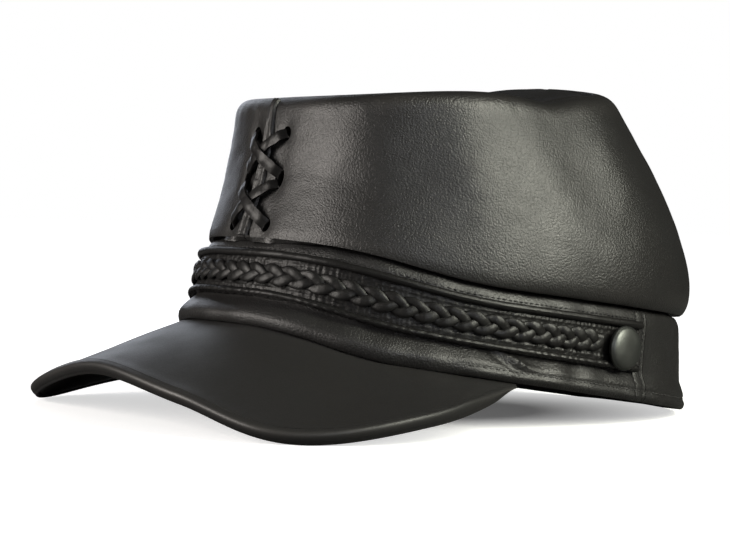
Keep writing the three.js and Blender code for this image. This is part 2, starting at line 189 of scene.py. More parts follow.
def spline(places: Sequence[float], values: Sequence[float], at: Points) -> Points:
    """Smooth curve through evenly spaced values.

    Args:
        places: evenly spaced places of the known values.
        values: the known values.
        at: where the curve is wanted.

    Returns:
        Values of the curve, one for each wanted place.
    """
    known = np.asarray(values, float)
    spot = np.clip((at - places[0]) / (places[1] - places[0]), 0.0, len(known) - 1.0)
    left = np.minimum(spot.astype(int), len(known) - 2)
    turn = spot - left
    before = known[np.maximum(left - 1, 0)]
    first = known[left]
    second = known[left + 1]
    after = known[np.minimum(left + 2, len(known) - 1)]
    slope_in = (second - before) * 0.5
    slope_out = (after - first) * 0.5
    cubic = (2 * first - 2 * second + slope_in + slope_out) * turn**3
    square = (-3 * first + 3 * second - 2 * slope_in - slope_out) * turn**2
    return cubic + square + slope_in * turn + first


@dataclass(frozen=True)
class HatForm:
    """The hat's main surfaces in its own frame: front at -Y, height from the back of the hem."""

    hem_length: float = 206.0 * MM
    hem_width: float = 165.4 * MM
    ring_squareness: float = 2.26
    hem_rise: float = 36.2 * MM
    hem_front_lift: float = 7.6 * MM
    hem_lift_spread: float = math.radians(32)
    crease_length: float = 191.4 * MM
    crease_width: float = 161.5 * MM
    crease_setback: float = 5.9 * MM
    crease_back_height: float = 37.6 * MM
    crease_rise: float = 27.4 * MM
    crease_front_lift: float = 9.0 * MM
    crease_lift_spread: float = math.radians(48)
    rim_length: float = 138.5 * MM
    rim_width: float = 130.7 * MM
    rim_squareness: float = 2.61
    rim_setforward: float = 5.9 * MM
    rim_height: float = 126.7 * MM
    rim_radius: float = 6.5 * MM
    rim_wave: float = 6.0 * MM
    tip_sink: float = 8.0 * MM
    back_fullness: float = 10.5 * MM
    front_hollow: float = 2.2 * MM
    lower_lip: float = 1.0 * MM
    lip_share: float = 0.45
    belly_power: float = 0.72
    shoulder_share: float = 0.9
    crown_wall: float = 1.8 * MM
    band_wall: float = 2.4 * MM
    band_tuck: float = 1.0 * MM
    band_roll: float = 2.2 * MM
    band_fade: float = 0.38
    strap_seat: float = 2.6 * MM
    seat_start: float = 0.1
    seat_deepest: float = 0.33
    strap_bottom: float = 0.304
    strap_top: float = 0.865
    peak_half_angle: float = math.radians(75.4)
    peak_depth: float = 61.4 * MM
    peak_drop: float = 24.8 * MM
    peak_turn: float = 0.793
    peak_edge_height: float = 5.1 * MM
    peak_end_taper: float = 0.68
    peak_taper_start: float = 0.8
    gap: float = 0.3 * MM
    lean: float = math.radians(1.9962)
    stand: Place = (0.0, 25.1438 * MM, -4.0878 * MM)
    rim_waves: tuple[Bulge, ...] = (
        Bulge(66, 26, 0.24),
        Bulge(101, 12, -0.4),
        Bulge(189, 47, 1.0),
    )
    dents: tuple[Bulge, ...] = (
        Bulge(50, 13, 1.6 * MM, 0.55, 0.45),
        Bulge(118, 14, 0.15 * MM, 0.7, 0.3),
        Bulge(-55, 14, 1.28 * MM, 0.5, 0.4),
        Bulge(-120, 16, 1.12 * MM, 0.6, 0.35),
    )
    peak_stations: tuple[PeakStation, ...] = (
        PeakStation(0.0, 0.808, 0.741),
        PeakStation(0.25, 0.851, 0.947),
        PeakStation(0.5, 1.0, 1.0),
        PeakStation(0.75, 0.71, 0.584),
        PeakStation(1.0, 0.0, 0.08),
    )

    def oval(self, angle: Points, length: float, width: float, squareness: float) -> Points:
        """Level ring round the head, rounder or squarer than an ellipse.

        Args:
            angle: angles from the front in radians, positive on the wearer's left.
            length: size of the ring from front to back in metres.
            width: size of the ring from side to side in metres.
            squareness: 2 for an ellipse and more for a squarer ring.

        Returns:
            Points of the ring at height 0.
        """
        side = np.abs(np.sin(angle)) / (width / 2)
        front = np.abs(np.cos(angle)) / (length / 2)
        reach = (side**squareness + front**squareness) ** (-1 / squareness)
        return np.stack([reach * np.sin(angle), -reach * np.cos(angle), np.zeros_like(angle)], axis=-1)

    def hem(self, angle: Points) -> Points:
        """Lower edge of the band.

        Args:
            angle: angles from the front in radians, positive on the wearer's left.

        Returns:
            Points of the edge.
        """
        point = self.oval(angle, self.hem_length, self.hem_width, self.ring_squareness)
        lift = self.hem_front_lift * np.exp(-((turned(angle) / self.hem_lift_spread) ** 4))
        point[..., 2] = self.hem_rise * (0.5 - point[..., 1] / self.hem_length) + lift
        return point

    def crease(self, angle: Points) -> Points:
        """Line where the crown turns in to meet the band.

        Args:
            angle: angles from the front in radians, positive on the wearer's left.

        Returns:
            Points of the line.
        """
        point = self.oval(angle, self.crease_length, self.crease_width, self.ring_squareness)
        lift = self.crease_front_lift * np.exp(-((turned(angle) / self.crease_lift_spread) ** 4))
        rise = self.crease_rise * (0.5 - point[..., 1] / self.crease_length)
        point[..., 2] = self.crease_back_height + rise + lift
        point[..., 1] += self.crease_setback
        return point

    def rim(self, angle: Points) -> Points:
        """Corner line of the crown's rounded upper edge.

        Args:
            angle: angles from the front in radians, positive on the wearer's left.

        Returns:
            Points of the line.
        """
        point = self.oval(angle, self.rim_length, self.rim_width, self.rim_squareness)
        point[..., 1] -= self.rim_setforward
        point[..., 2] = self.rim_height
        for wave in self.rim_waves:
            point[..., 2] += self.rim_wave * wave.depth * bell(angle, wave.angle, wave.spread)
        return point

    def crown_wall_at(self, angle: Points, share: Points) -> Points:
        """Wall of the crown from the crease, share 0, to the rim, share 1.

        Args:
            angle: angles from the front in radians, positive on the wearer's left.
            share: shares of the wall's height, 0 at its foot.

        Returns:
            Points of the wall with its fullness and its dents.
        """
        part = share[..., None]
        point = self.crease(angle) * (1 - part) + self.rim(angle) * part
        middle = (self.back_fullness - self.front_hollow) / 2
        swing = (self.back_fullness + self.front_hollow) / 2
        fullness = (middle - swing * np.cos(angle)) * np.sin(math.pi * share**self.belly_power)
        lip = np.sin(math.pi * np.sqrt(np.minimum(share / self.lip_share, 1)))
        fullness = fullness + self.lower_lip * lip
        for dent in self.dents:
            height = groove(share - dent.share, dent.tall)
            fullness = fullness - dent.depth * height * bell(angle, dent.angle, dent.spread)
        return point + outwards(angle) * fullness[..., None]

    def crown(self, angle: Points, share: Points) -> Points:
        """Outer face of the crown: its wall, then the rounded rim up to share 1.

        Args:
            angle: angles from the front in radians, positive on the wearer's left.
            share: shares of the wall's height, 0 at its foot.

        Returns:
            Points of the face.
        """
        crease = self.crease(angle)
        rim = self.rim(angle)
        shoulder = 1 - self.rim_radius / np.linalg.norm(rim - crease, axis=-1)
        low = np.clip(share, 0.0, self.shoulder_share) * shoulder / self.shoulder_share
        wall = self.crown_wall_at(angle, low)
        turn = np.maximum((share - self.shoulder_share) / (1 - self.shoulder_share), 0.0)[..., None]
        start = self.crown_wall_at(angle, shoulder)
        end = rim - outwards(angle) * self.rim_radius
        rounded = start * (1 - turn) ** 2 + rim * 2 * turn * (1 - turn) + end * turn**2
        return np.where((share <= self.shoulder_share)[..., None], wall, rounded)

    def band(self, angle: Points, share: Points) -> Points:
        """Outer face of the band from the hem, share 0, to the crease, share 1.

        Args:
            angle: angles from the front in radians, positive on the wearer's left.
            share: shares of the wall's height, 0 at its foot.

        Returns:
            Points of the face.
        """
        part = share[..., None]
        point = self.hem(angle) * (1 - part) + self.crease(angle) * part
        fade = 1 - self.band_fade + self.band_fade * np.cos(angle)
        rolled = np.sin(math.pi * np.clip(share / self.strap_bottom, 0, 1))
        seated = smooth_step(self.seat_start, self.seat_deepest, share)
        seated = seated * (1 - smooth_step(self.seat_deepest, 1, share))
        fullness = fade * (self.band_roll * rolled - self.strap_seat * seated)
        fullness = fullness - self.band_tuck * share**2
        return point + outwards(angle) * fullness[..., None]

    def band_height(self, angle: Points) -> Points:
        """Height of the band at an angle."""
        return np.linalg.norm(self.hem(angle) - self.crease(angle), axis=-1)

    def on_band(self, angle: Points, share: float, shift: Points, height: Points) -> Points:
        """Points on the band: a share of its height, a shift up from there, and a height off it."""
        return raised(self.band, angle, share + shift / self.band_height(angle), height)

    def peak_rim(self, along: Points) -> Points:
        """Outer edge of the peak at its underside; along runs from -1 to 1.

        Args:
            along: places from one end of the peak to the other, -1 to 1.

        Returns:
            Points of the edge.
        """
        angle = along * self.peak_half_angle
        other_half = tuple(replace(row, along=-row.along) for row in self.peak_stations[:0:-1])
        stations = other_half + self.peak_stations
        places = [row.along for row in stations]
        depths = [row.depth for row in stations]
        drops = [row.drop for row in stations]
        reach = self.peak_depth * spline(places, depths, along)
        point = self.hem(angle) + outwards(angle * self.peak_turn) * reach[..., None]
        point[..., 2] -= self.peak_drop * spline(places, drops, along)
        return point

    def peak_taper(self, along: Points) -> Points:
        """The layers of the peak thin out towards its two ends."""
        return 1 - self.peak_end_taper * smooth_step(self.peak_taper_start, 1, np.abs(along))

    def peak_reach(self, along: Points) -> Points:
        """Distance from the hem to the peak's edge."""
        gap = self.peak_rim(along) - self.hem(along * self.peak_half_angle)
        return np.linalg.norm(gap, axis=-1)

    def peak(self, along: Points, out: Points) -> Points:
        """Upper face of the peak: out is 0 at the hem, 1 at the rim and negative inside the band.

        Args:
            along: places from one end of the peak to the other, -1 to 1.
            out: 0 at the hem, 1 at the rim and negative inside the band.

        Returns:
            Points of the face.
        """
        angle = along * self.peak_half_angle
        hem = self.hem(angle) - np.array([0.0, 0.0, self.gap])
        rim = self.peak_rim(along)
        rim[..., 2] += self.peak_edge_height * self.peak_taper(along)
        part = np.maximum(out, 0.0)[..., None]
        inside = (np.minimum(out, 0.0) * self.peak_reach(along))[..., None]
        return hem * (1 - part) + rim * part + outwards(angle) * inside

    def front_angle(self, distance: Points, share: Points) -> Points:
        """Angle of a place on the front of the crown, in metres from the seam."""
        ahead = -self.crown(np.zeros_like(share), share)[..., 1]
        return np.arctan2(distance, ahead)

    @property
    def front_wall_height(self) -> float:
        """Height of the crown at the front, from the crease to the rim."""
        front = np.zeros(1)
        return float(self.rim(front)[0, 2] - self.crease(front)[0, 2])

    def share_below_rim(self, drop: float) -> float:
        """Share of the crown wall at a distance below the rim at the front."""
        height = self.front_wall_height
        return self.shoulder_share * (height - drop) / (height - self.rim_radius)

    def to_row(self, points: Points) -> Points:
        """Points of the hat's own frame in the frame of the standing hat."""
        turn = np.array(Matrix.Rotation(self.lean, 3, "X"))
        return points @ turn.T + np.array(self.stand)


@dataclass(frozen=True)
class Stitch:
    """Sizes of a thread stitch in metres, with its length as a share of the pitch.

    The lift is how far its middle lies off the leather.
    """

    pitch: float
    length: float
    width: float
    height: float
    lift: float


class Bench:
    """The maker's bench: primitives are laid out flat on it, shaped and moulded on the hat."""

    def __init__(self, form: HatForm) -> None:
        """Keeps the form that flat patterns are moulded on."""
        self.form = form

    @staticmethod
    def clear() -> None:
        """Deselects everything."""
        bpy.ops.object.select_all(action="DESELECT")

    @staticmethod
    def take(piece: bpy.types.Object) -> None:
        """Makes a piece the only selected and active object.

        Args:
            piece: the piece that is worked on.
        """
        Bench.clear()
        piece.select_set(True)
        bpy.context.view_layer.objects.active = piece

    @contextmanager
    def editing(self, piece: bpy.types.Object) -> Iterator[None]:
        """Edit mode with the whole piece selected, for the lines under it.

        Args:
            piece: the piece that is edited.

        Returns:
            A context that goes back to object mode at its end.
        """
        self.take(piece)
        bpy.ops.object.mode_set(mode="EDIT")
        bpy.ops.mesh.select_all(action="SELECT")
        yield
        bpy.ops.object.mode_set(mode="OBJECT")

    def sheet(self, name: str, columns: int, rows: int) -> bpy.types.Object:
        """Flat sheet of one unit square with its corner at the origin.

        Args:
            name: name of the new piece.
            columns: number of faces along the sheet.
            rows: number of faces up the sheet.

        Returns:
            The sheet, in the plane of X and Y.
        """
        self.clear()
        bpy.ops.mesh.primitive_grid_add(
            x_subdivisions=columns, y_subdivisions=rows, size=1, location=(0.5, 0.5, 0)
        )
        piece = bpy.context.object
        piece.name = name
        bpy.ops.object.transform_apply(location=True)
        return piece

    def stitch_row(self, name: str, count: int, stitch: Stitch) -> bpy.types.Object:
        """Row of thread stitches a unit apart along X, modelled once and repeated.

        Args:
            name: name of the piece.
            count: number of stitches.
            stitch: sizes of one of them.

        Returns:
            One object with all stitches, X counting the stitches.
        """
        self.clear()
        bpy.ops.mesh.primitive_uv_sphere_add(
            segments=6, ring_count=5, radius=1, rotation=(0, math.pi / 2, 0)
        )
        piece = bpy.context.object
        piece.name = name
        bpy.ops.object.transform_apply(rotation=True)
        piece.scale = (stitch.length / 2, stitch.width / 2, stitch.height / 2)
        bpy.ops.object.transform_apply(scale=True)
        self.array(piece, count, (1, 0, 0))
        return piece

    def array(self, piece: bpy.types.Object, count: int, step: Place) -> None:
        """Repeats a piece at a constant step.

        Args:
            piece: the piece that is worked on.
            count: number of copies.
            step: step from each copy to the next in metres.
        """
        rows = piece.modifiers.new("repeat", "ARRAY")
        rows.count = count
        rows.use_relative_offset = False
        rows.use_constant_offset = True
        rows.constant_offset_displace = step
        self.apply(piece, rows)

    def apply(self, piece: bpy.types.Object, modifier: bpy.types.Modifier) -> None:
        """Applies a modifier for good."""
        self.take(piece)
        bpy.ops.object.modifier_apply(modifier=modifier.name)

    def mould(self, piece: bpy.types.Object, pattern: Pattern, wear: Pattern | None = None) -> None:
        """Moves every vertex of a flat piece to its place on the standing hat.

        Args:
            piece: the flat piece.
            pattern: gives places in the hat's frame for flat x, y and z.
            wear: gives how rubbed the finish is there, 0 to 1.
        """
        mesh = piece.data
        flat = np.empty(len(mesh.vertices) * 3)
        mesh.vertices.foreach_get("co", flat)
        flat = flat.reshape(-1, 3)
        if wear is not None:
            painted = mesh.attributes.new("wear", "FLOAT", "POINT")
            painted.data.foreach_set("value", np.clip(wear(*flat.T), 0.0, 1.0))
        placed = self.form.to_row(pattern(flat[:, 0], flat[:, 1], flat[:, 2]))
        mesh.vertices.foreach_set("co", placed.ravel())
        mesh.update()

    def weld(self, piece: bpy.types.Object, reach: float = 0.02 * MM, fill: bool = False) -> None:
        """Joins the edges of a moulded piece where they meet, and caps open ends if asked.

        Args:
            piece: the piece that is worked on.
            reach: distance in metres within which vertices are joined.
            fill: True to cap open ends.
        """
        with self.editing(piece):
            bpy.ops.mesh.remove_doubles(threshold=reach)
            if fill:
                bpy.ops.mesh.select_all(action="SELECT")
                bpy.ops.mesh.fill_holes(sides=0)
            bpy.ops.mesh.select_all(action="SELECT")
            bpy.ops.mesh.normals_make_consistent(inside=False)

    def thicken(
        self,
        piece: bpy.types.Object,
        wall: float,
        offset: float = -1.0,
        thin: Points | None = None,
    ) -> None:
        """Gives a sheet its thickness, with the flesh side in the piece's second finish.

        Args:
            piece: the moulded sheet.
            wall: its full thickness in metres.
            offset: -1 to thicken inwards from the sheet, 1 to thicken outwards.
            thin: share of the full thickness at each vertex.
        """
        wall_maker = piece.modifiers.new("wall", "SOLIDIFY")
        if thin is not None:
            group = piece.vertex_groups.new(name="thickness")
            for number, share in enumerate(thin.tolist()):
                group.add([number], share, "REPLACE")
            wall_maker.vertex_group = group.name
        wall_maker.thickness = wall
        wall_maker.offset = offset
        wall_maker.use_quality_normals = True
        wall_maker.material_offset = 1
        wall_maker.material_offset_rim = 0
        self.apply(piece, wall_maker)

    def smooth(self, piece: bpy.types.Object, degrees: float = 50.0) -> None:
        """Shades a piece smoothly except across sharp edges."""
        self.take(piece)
        bpy.ops.object.shade_smooth_by_angle(angle=math.radians(degrees))

    def cut(self, piece: bpy.types.Object, cutter: bpy.types.Object) -> None:
        """Cuts one solid out of another and removes the cutter.

        Args:
            piece: the piece that is worked on.
            cutter: the solid that is cut out; it is removed.
        """
        blade = piece.modifiers.new("cut", "BOOLEAN")
        blade.operation = "DIFFERENCE"
        blade.solver = "EXACT"
        blade.object = cutter
        self.apply(piece, blade)
        bpy.data.objects.remove(cutter, do_unlink=True)

    @staticmethod
    def settle(piece: bpy.types.Object) -> None:
        """Flattens what would press into the floor.

        Args:
            piece: the piece that is worked on.
        """
        places = np.empty(len(piece.data.vertices) * 3)
        piece.data.vertices.foreach_get("co", places)
        places[2::3] = np.maximum(places[2::3], 0.0)
        piece.data.vertices.foreach_set("co", places)
        piece.data.update()

    @staticmethod
    def dress(piece: bpy.types.Object, *materials: bpy.types.Material) -> None:
        """Gives a piece its finishes, the face side's first."""
        for material in materials:
            piece.data.materials.append(material)

    def finish(self, piece: bpy.types.Object, slot: str, *nodes: str) -> bpy.types.Object:
        """Settles a dressed piece, lets it ride on the hat and hides the nodes that it stands for.

        Args:
            piece: the piece that is worked on.
            slot: name of the material slot; not used.
            nodes: names of the nodes that the piece replaces.

        Returns:
            The same piece.
        """
        self.settle(piece)
        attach(piece, "root")
        if nodes:
            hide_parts(*nodes)
        log.info("%s: %d faces", piece.name, len(piece.data.polygons))
        return piece


Value = Union["Wire", float, tuple]


class Wire:
    """An output socket of a shader node; arithmetic on it adds Math nodes."""

    def __init__(self, recipe: "Recipe", socket: bpy.types.NodeSocket) -> None:
        """Keeps the socket and the recipe that it belongs to."""
        self.recipe = recipe
        self.socket = socket

    def __add__(self, other: Value) -> "Wire":
        """Sum."""
        return self.recipe.maths("ADD", self, other)

    def __radd__(self, other: Value) -> "Wire":
        """Sum with a number in front."""
        return self.recipe.maths("ADD", other, self)

    def __sub__(self, other: Value) -> "Wire":
        """Difference."""
        return self.recipe.maths("SUBTRACT", self, other)

    def __rsub__(self, other: Value) -> "Wire":
        """Difference from a number."""
        return self.recipe.maths("SUBTRACT", other, self)

    def __mul__(self, other: Value) -> "Wire":
        """Product."""
        return self.recipe.maths("MULTIPLY", self, other)

    def __rmul__(self, other: Value) -> "Wire":
        """Product with a number in front."""
        return self.recipe.maths("MULTIPLY", other, self)


class Recipe:
    """Node tree of one material, built up from its output backwards."""

    def __init__(self, name: str) -> None:
        """Starts an empty material.

        Args:
            name: name of the material.
        """
        self.material = bpy.data.materials.new(name)
        self.material.use_nodes = True
        self.tree = self.material.node_tree
        self.tree.nodes.clear()

    def node(
        self,
        kind: str,
        settings: dict | None = None,
        inputs: dict | None = None,
        output: int | str = 0,
    ) -> Wire:
        """Adds a node.

        Args:
            kind: type name of the node.
            settings: its properties, set before its sockets; stops fills a colour ramp.
            inputs: a value or a Wire for each socket, by name or number.
            output: the output socket that is wanted.

        Returns:
            The output socket as a Wire.
        """
        node = self.tree.nodes.new(kind)
        for key, value in (settings or {}).items():
            if key == "stops":
                self._ramp(node, value)
            else:
                setattr(node, key, value)
        for key, value in (inputs or {}).items():
            if isinstance(value, Wire):
                self.tree.links.new(value.socket, node.inputs[key])
            else:
                node.inputs[key].default_value = value
        return Wire(self, node.outputs[output])

    @staticmethod
    def _ramp(node: bpy.types.Node, stops: Sequence[tuple[float, float]]) -> None:
        """Sets grey stops on a colour ramp.

        Args:
            node: the colour ramp.
            stops: place and grey of each stop.
        """
        elements = node.color_ramp.elements
        while len(elements) < len(stops):
            elements.new(1.0)
        for element, (place, grey) in zip(elements, stops):
            element.position = place
            element.color = (grey, grey, grey, 1.0)

    def maths(self, operation: str, first: Value, second: Value) -> Wire:
        """Adds one Math node."""
        return self.node("ShaderNodeMath", {"operation": operation}, {0: first, 1: second})

    def ramp(self, value: Wire, stops: Sequence[tuple[float, float]]) -> Wire:
        """Maps a value through grey stops."""
        return self.node("ShaderNodeValToRGB", {"stops": stops}, {"Fac": value})

    def mix(self, share: Value, first: Colour, second: Colour) -> Wire:
        """Mixes two colours."""
        inputs = {"Factor": share, 6: (*first, 1.0), 7: (*second, 1.0)}
        return self.node("ShaderNodeMix", {"data_type": "RGBA"}, inputs, 2)

    def place(self) -> Wire:
        """Object coordinates."""
        return self.node("ShaderNodeTexCoord", output="Object")

    def noise(self, place: Wire, size: float, detail: float, rough: float) -> Wire:
        """Cloudy noise with a usual size in metres."""
        inputs = {"Vector": place, "Scale": 1.0 / size, "Detail": detail, "Roughness": rough}
        return self.node("ShaderNodeTexNoise", None, inputs)

    def cells(self, place: Wire, size: float, feature: str) -> Wire:
        """A distance in the cells of a pebbled pattern with a usual size in metres."""
        inputs = {"Vector": place, "Scale": 1.0 / size}
        return self.node("ShaderNodeTexVoronoi", {"feature": feature}, inputs)

    def worn(self) -> Wire:
        """Wear painted on the mesh, 0 to 1."""
        return self.node("ShaderNodeAttribute", {"attribute_name": "wear"}, output="Fac")

    def bump(self, height: Wire, distance: float, strength: float, under: Wire | None = None) -> Wire:
        """Bump of a height pattern, its full height in metres.

        Args:
            height: the height pattern.
            distance: its full height in metres.
            strength: how much of it shows, 0 to 1.
            under: normals that already hold another bump.

        Returns:
            Normals with the bump.
        """
        inputs: dict = {"Height": height, "Distance": distance, "Strength": strength}
        if under is not None:
            inputs["Normal"] = under
        return self.node("ShaderNodeBump", None, inputs)

    def principled(self, inputs: dict) -> Wire:
        """Surface shader with the given inputs."""
        return self.node("ShaderNodeBsdfPrincipled", None, inputs)

    def output(self, surface: Wire) -> bpy.types.Material:
        """Closes the recipe and returns its material.

        Args:
            surface: the surface shader.

        Returns:
            The finished material.
        """
        closing = self.tree.nodes.new("ShaderNodeOutputMaterial")
        self.tree.links.new(surface.socket, closing.inputs["Surface"])
        return self.material


@dataclass(frozen=True)
class LeatherFinish:
    """Dyed and rubbed leather with a pebbled grain."""

    name: str
    dye: Colour = (0.007, 0.0068, 0.0068)
    rubbed: Colour = (0.03, 0.028, 0.0265)
    gloss: float = 0.36
    dull: float = 0.46
    grain_size: float = 0.66 * MM
    grain_height: float = 0.23 * MM
    crease_size: float = 3.4 * MM
    crease_height: float = 0.012 * MM
    cloud_size: float = 24.0 * MM
    polish: float = 0.12
    polish_roughness: float = 0.42
    shine: float = 0.5
    pore_share: float = 0.55
    patch_tone: float = 0.22
    wear_tone: float = 0.7
    pore_tone: float = 0.12
    pore_speckle: float = 0.34
    wear_gloss: float = 0.08

    def make(self) -> bpy.types.Material:
        """Builds the material.

        Returns:
            The finished material.
        """
        recipe = Recipe(self.name)
        place = recipe.place()
        pebbles = recipe.cells(place, self.grain_size, "SMOOTH_F1")
        pores = recipe.noise(place, self.grain_size * self.pore_share, 2.0, 0.6)
        creases = recipe.cells(place, self.crease_size, "DISTANCE_TO_EDGE")
        lines = recipe.ramp(creases, ((0.0, 0.0), (0.16, 1.0)))
        clouds = recipe.noise(place, self.cloud_size, 4.0, 0.55)
        patches = recipe.ramp(clouds, ((0.35, 0.0), (0.7, 1.0)))
        wear = recipe.worn()
        height = (1 - pebbles) * 0.75 + pores * 0.45
        fine = recipe.bump(height, self.grain_height, 1.0)
        coarse = recipe.bump(lines, self.crease_height, 0.5, fine)
        tone = patches * self.patch_tone + wear * self.wear_tone + pores * self.pore_tone
        rough = self.dull - patches * (self.dull - self.gloss)
        rough = rough + (0.5 - pores) * self.pore_speckle - wear * self.wear_gloss
        inputs = {
            "Base Color": recipe.mix(tone, self.dye, self.rubbed),
            "Roughness": rough,
            "Specular IOR Level": self.shine,
            "Coat Weight": self.polish,
            "Coat Roughness": self.polish_roughness,
            "Normal": coarse,
        }
        return recipe.output(recipe.principled(inputs))


@dataclass(frozen=True)
class FleshFinish:
    """Undyed looking back of the leather, rough like suede."""

    name: str
    colour: Colour = (0.022, 0.02, 0.019)
    paler: float = 1.9
    nap_size: float = 0.5 * MM
    nap_height: float = 0.08 * MM
    cloud_size: float = 15.0 * MM

    def make(self) -> bpy.types.Material:
        """Builds the material.

        Returns:
            The finished material.
        """
        recipe = Recipe(self.name)
        place = recipe.place()
        nap = recipe.noise(place, self.nap_size, 4.0, 0.7)
        clouds = recipe.noise(place, self.cloud_size, 3.0, 0.5)
        pale = tuple(self.paler * part for part in self.colour)
        inputs = {
            "Base Color": recipe.mix(clouds * 0.6 + nap * 0.4, self.colour, pale),
            "Roughness": 0.82 + (nap - 0.5) * 0.2,
            "Specular IOR Level": 0.25,
            "Sheen Weight": 0.25,
            "Normal": recipe.bump(nap, self.nap_height, 0.9),
        }
        return recipe.output(recipe.principled(inputs))


@dataclass(frozen=True)
class ThreadFinish:
    """Waxed sewing thread, twisted."""

    name: str
    colour: Colour = (0.016, 0.0155, 0.0155)
    paler: float = 2.6
    twist_size: float = 0.35 * MM
    twist_height: float = 0.05 * MM

    def make(self) -> bpy.types.Material:
        """Builds the material.

        Returns:
            The finished material.
        """
        recipe = Recipe(self.name)
        place = recipe.place()
        strands = recipe.node(
            "ShaderNodeTexWave",
            {"wave_type": "BANDS", "bands_direction": "DIAGONAL"},
            {"Vector": place, "Scale": 0.16 / self.twist_size, "Distortion": 0.6},
            "Fac",
        )
        pale = tuple(self.paler * part for part in self.colour)
        inputs = {
            "Base Color": recipe.mix(strands * 0.6, self.colour, pale),
            "Roughness": 0.5 + strands * 0.2,
            "Normal": recipe.bump(strands, self.twist_height, 0.8),
        }
        return recipe.output(recipe.principled(inputs))


@dataclass(frozen=True)
class MetalFinish:
    """Blackened snap-button metal, satin and slightly speckled."""

    name: str
    colour: Colour = (0.07, 0.075, 0.07)
    rubbed: Colour = (0.3, 0.3, 0.29)
    roughness: float = 0.42
    speckle_size: float = 0.5 * MM
    speckle_height: float = 0.015 * MM
    cloud_size: float = 6.0 * MM

    def make(self) -> bpy.types.Material:
        """Builds the material.

        Returns:
            The finished material.
        """
        recipe = Recipe(self.name)
        place = recipe.place()
        speckle = recipe.noise(place, self.speckle_size, 3.0, 0.65)
        clouds = recipe.noise(place, self.cloud_size, 3.0, 0.5)
        inputs = {
            "Base Color": recipe.mix(clouds * 0.25, self.colour, self.rubbed),
            "Metallic": 0.85 + clouds * 0.1,
            "Roughness": self.roughness + (speckle - 0.5) * 0.2 + (clouds - 0.5) * 0.15,
            "Normal": recipe.bump(speckle, self.speckle_height, 0.6),
        }
        return recipe.output(recipe.principled(inputs))


@dataclass
class Finishes:
    """All finishes of the hat."""

    crown: bpy.types.Material = field(default_factory=lambda: LeatherFinish("crown_leather").make())
    band: bpy.types.Material = field(
        default_factory=lambda: LeatherFinish("band_leather", dull=0.52).make()
    )
    trim: bpy.types.Material = field(
        default_factory=lambda: LeatherFinish(
            "trim_leather",
            dye=(0.004, 0.0038, 0.0038),
            rubbed=(0.022, 0.0205, 0.0195),
            grain_size=0.8 * MM,
            grain_height=0.09 * MM,
            gloss=0.36,
            dull=0.5,
            shine=0.3,
            polish=0.06,
        ).make()
    )
    peak: bpy.types.Material = field(
        default_factory=lambda: LeatherFinish(
            "peak_leather", grain_height=0.02 * MM, crease_height=0.015 * MM, gloss=0.5, dull=0.6
        ).make()
    )
    tip: bpy.types.Material = field(
        default_factory=lambda: LeatherFinish(
            "tip_leather", gloss=0.66, dull=0.78, polish=0.0, shine=0.15
        ).make()
    )
    flesh: bpy.types.Material = field(default_factory=lambda: FleshFinish("flesh_side").make())
    thread: bpy.types.Material = field(default_factory=lambda: ThreadFinish("black_thread").make())
    metal: bpy.types.Material = field(default_factory=lambda: MetalFinish("button_metal").make())


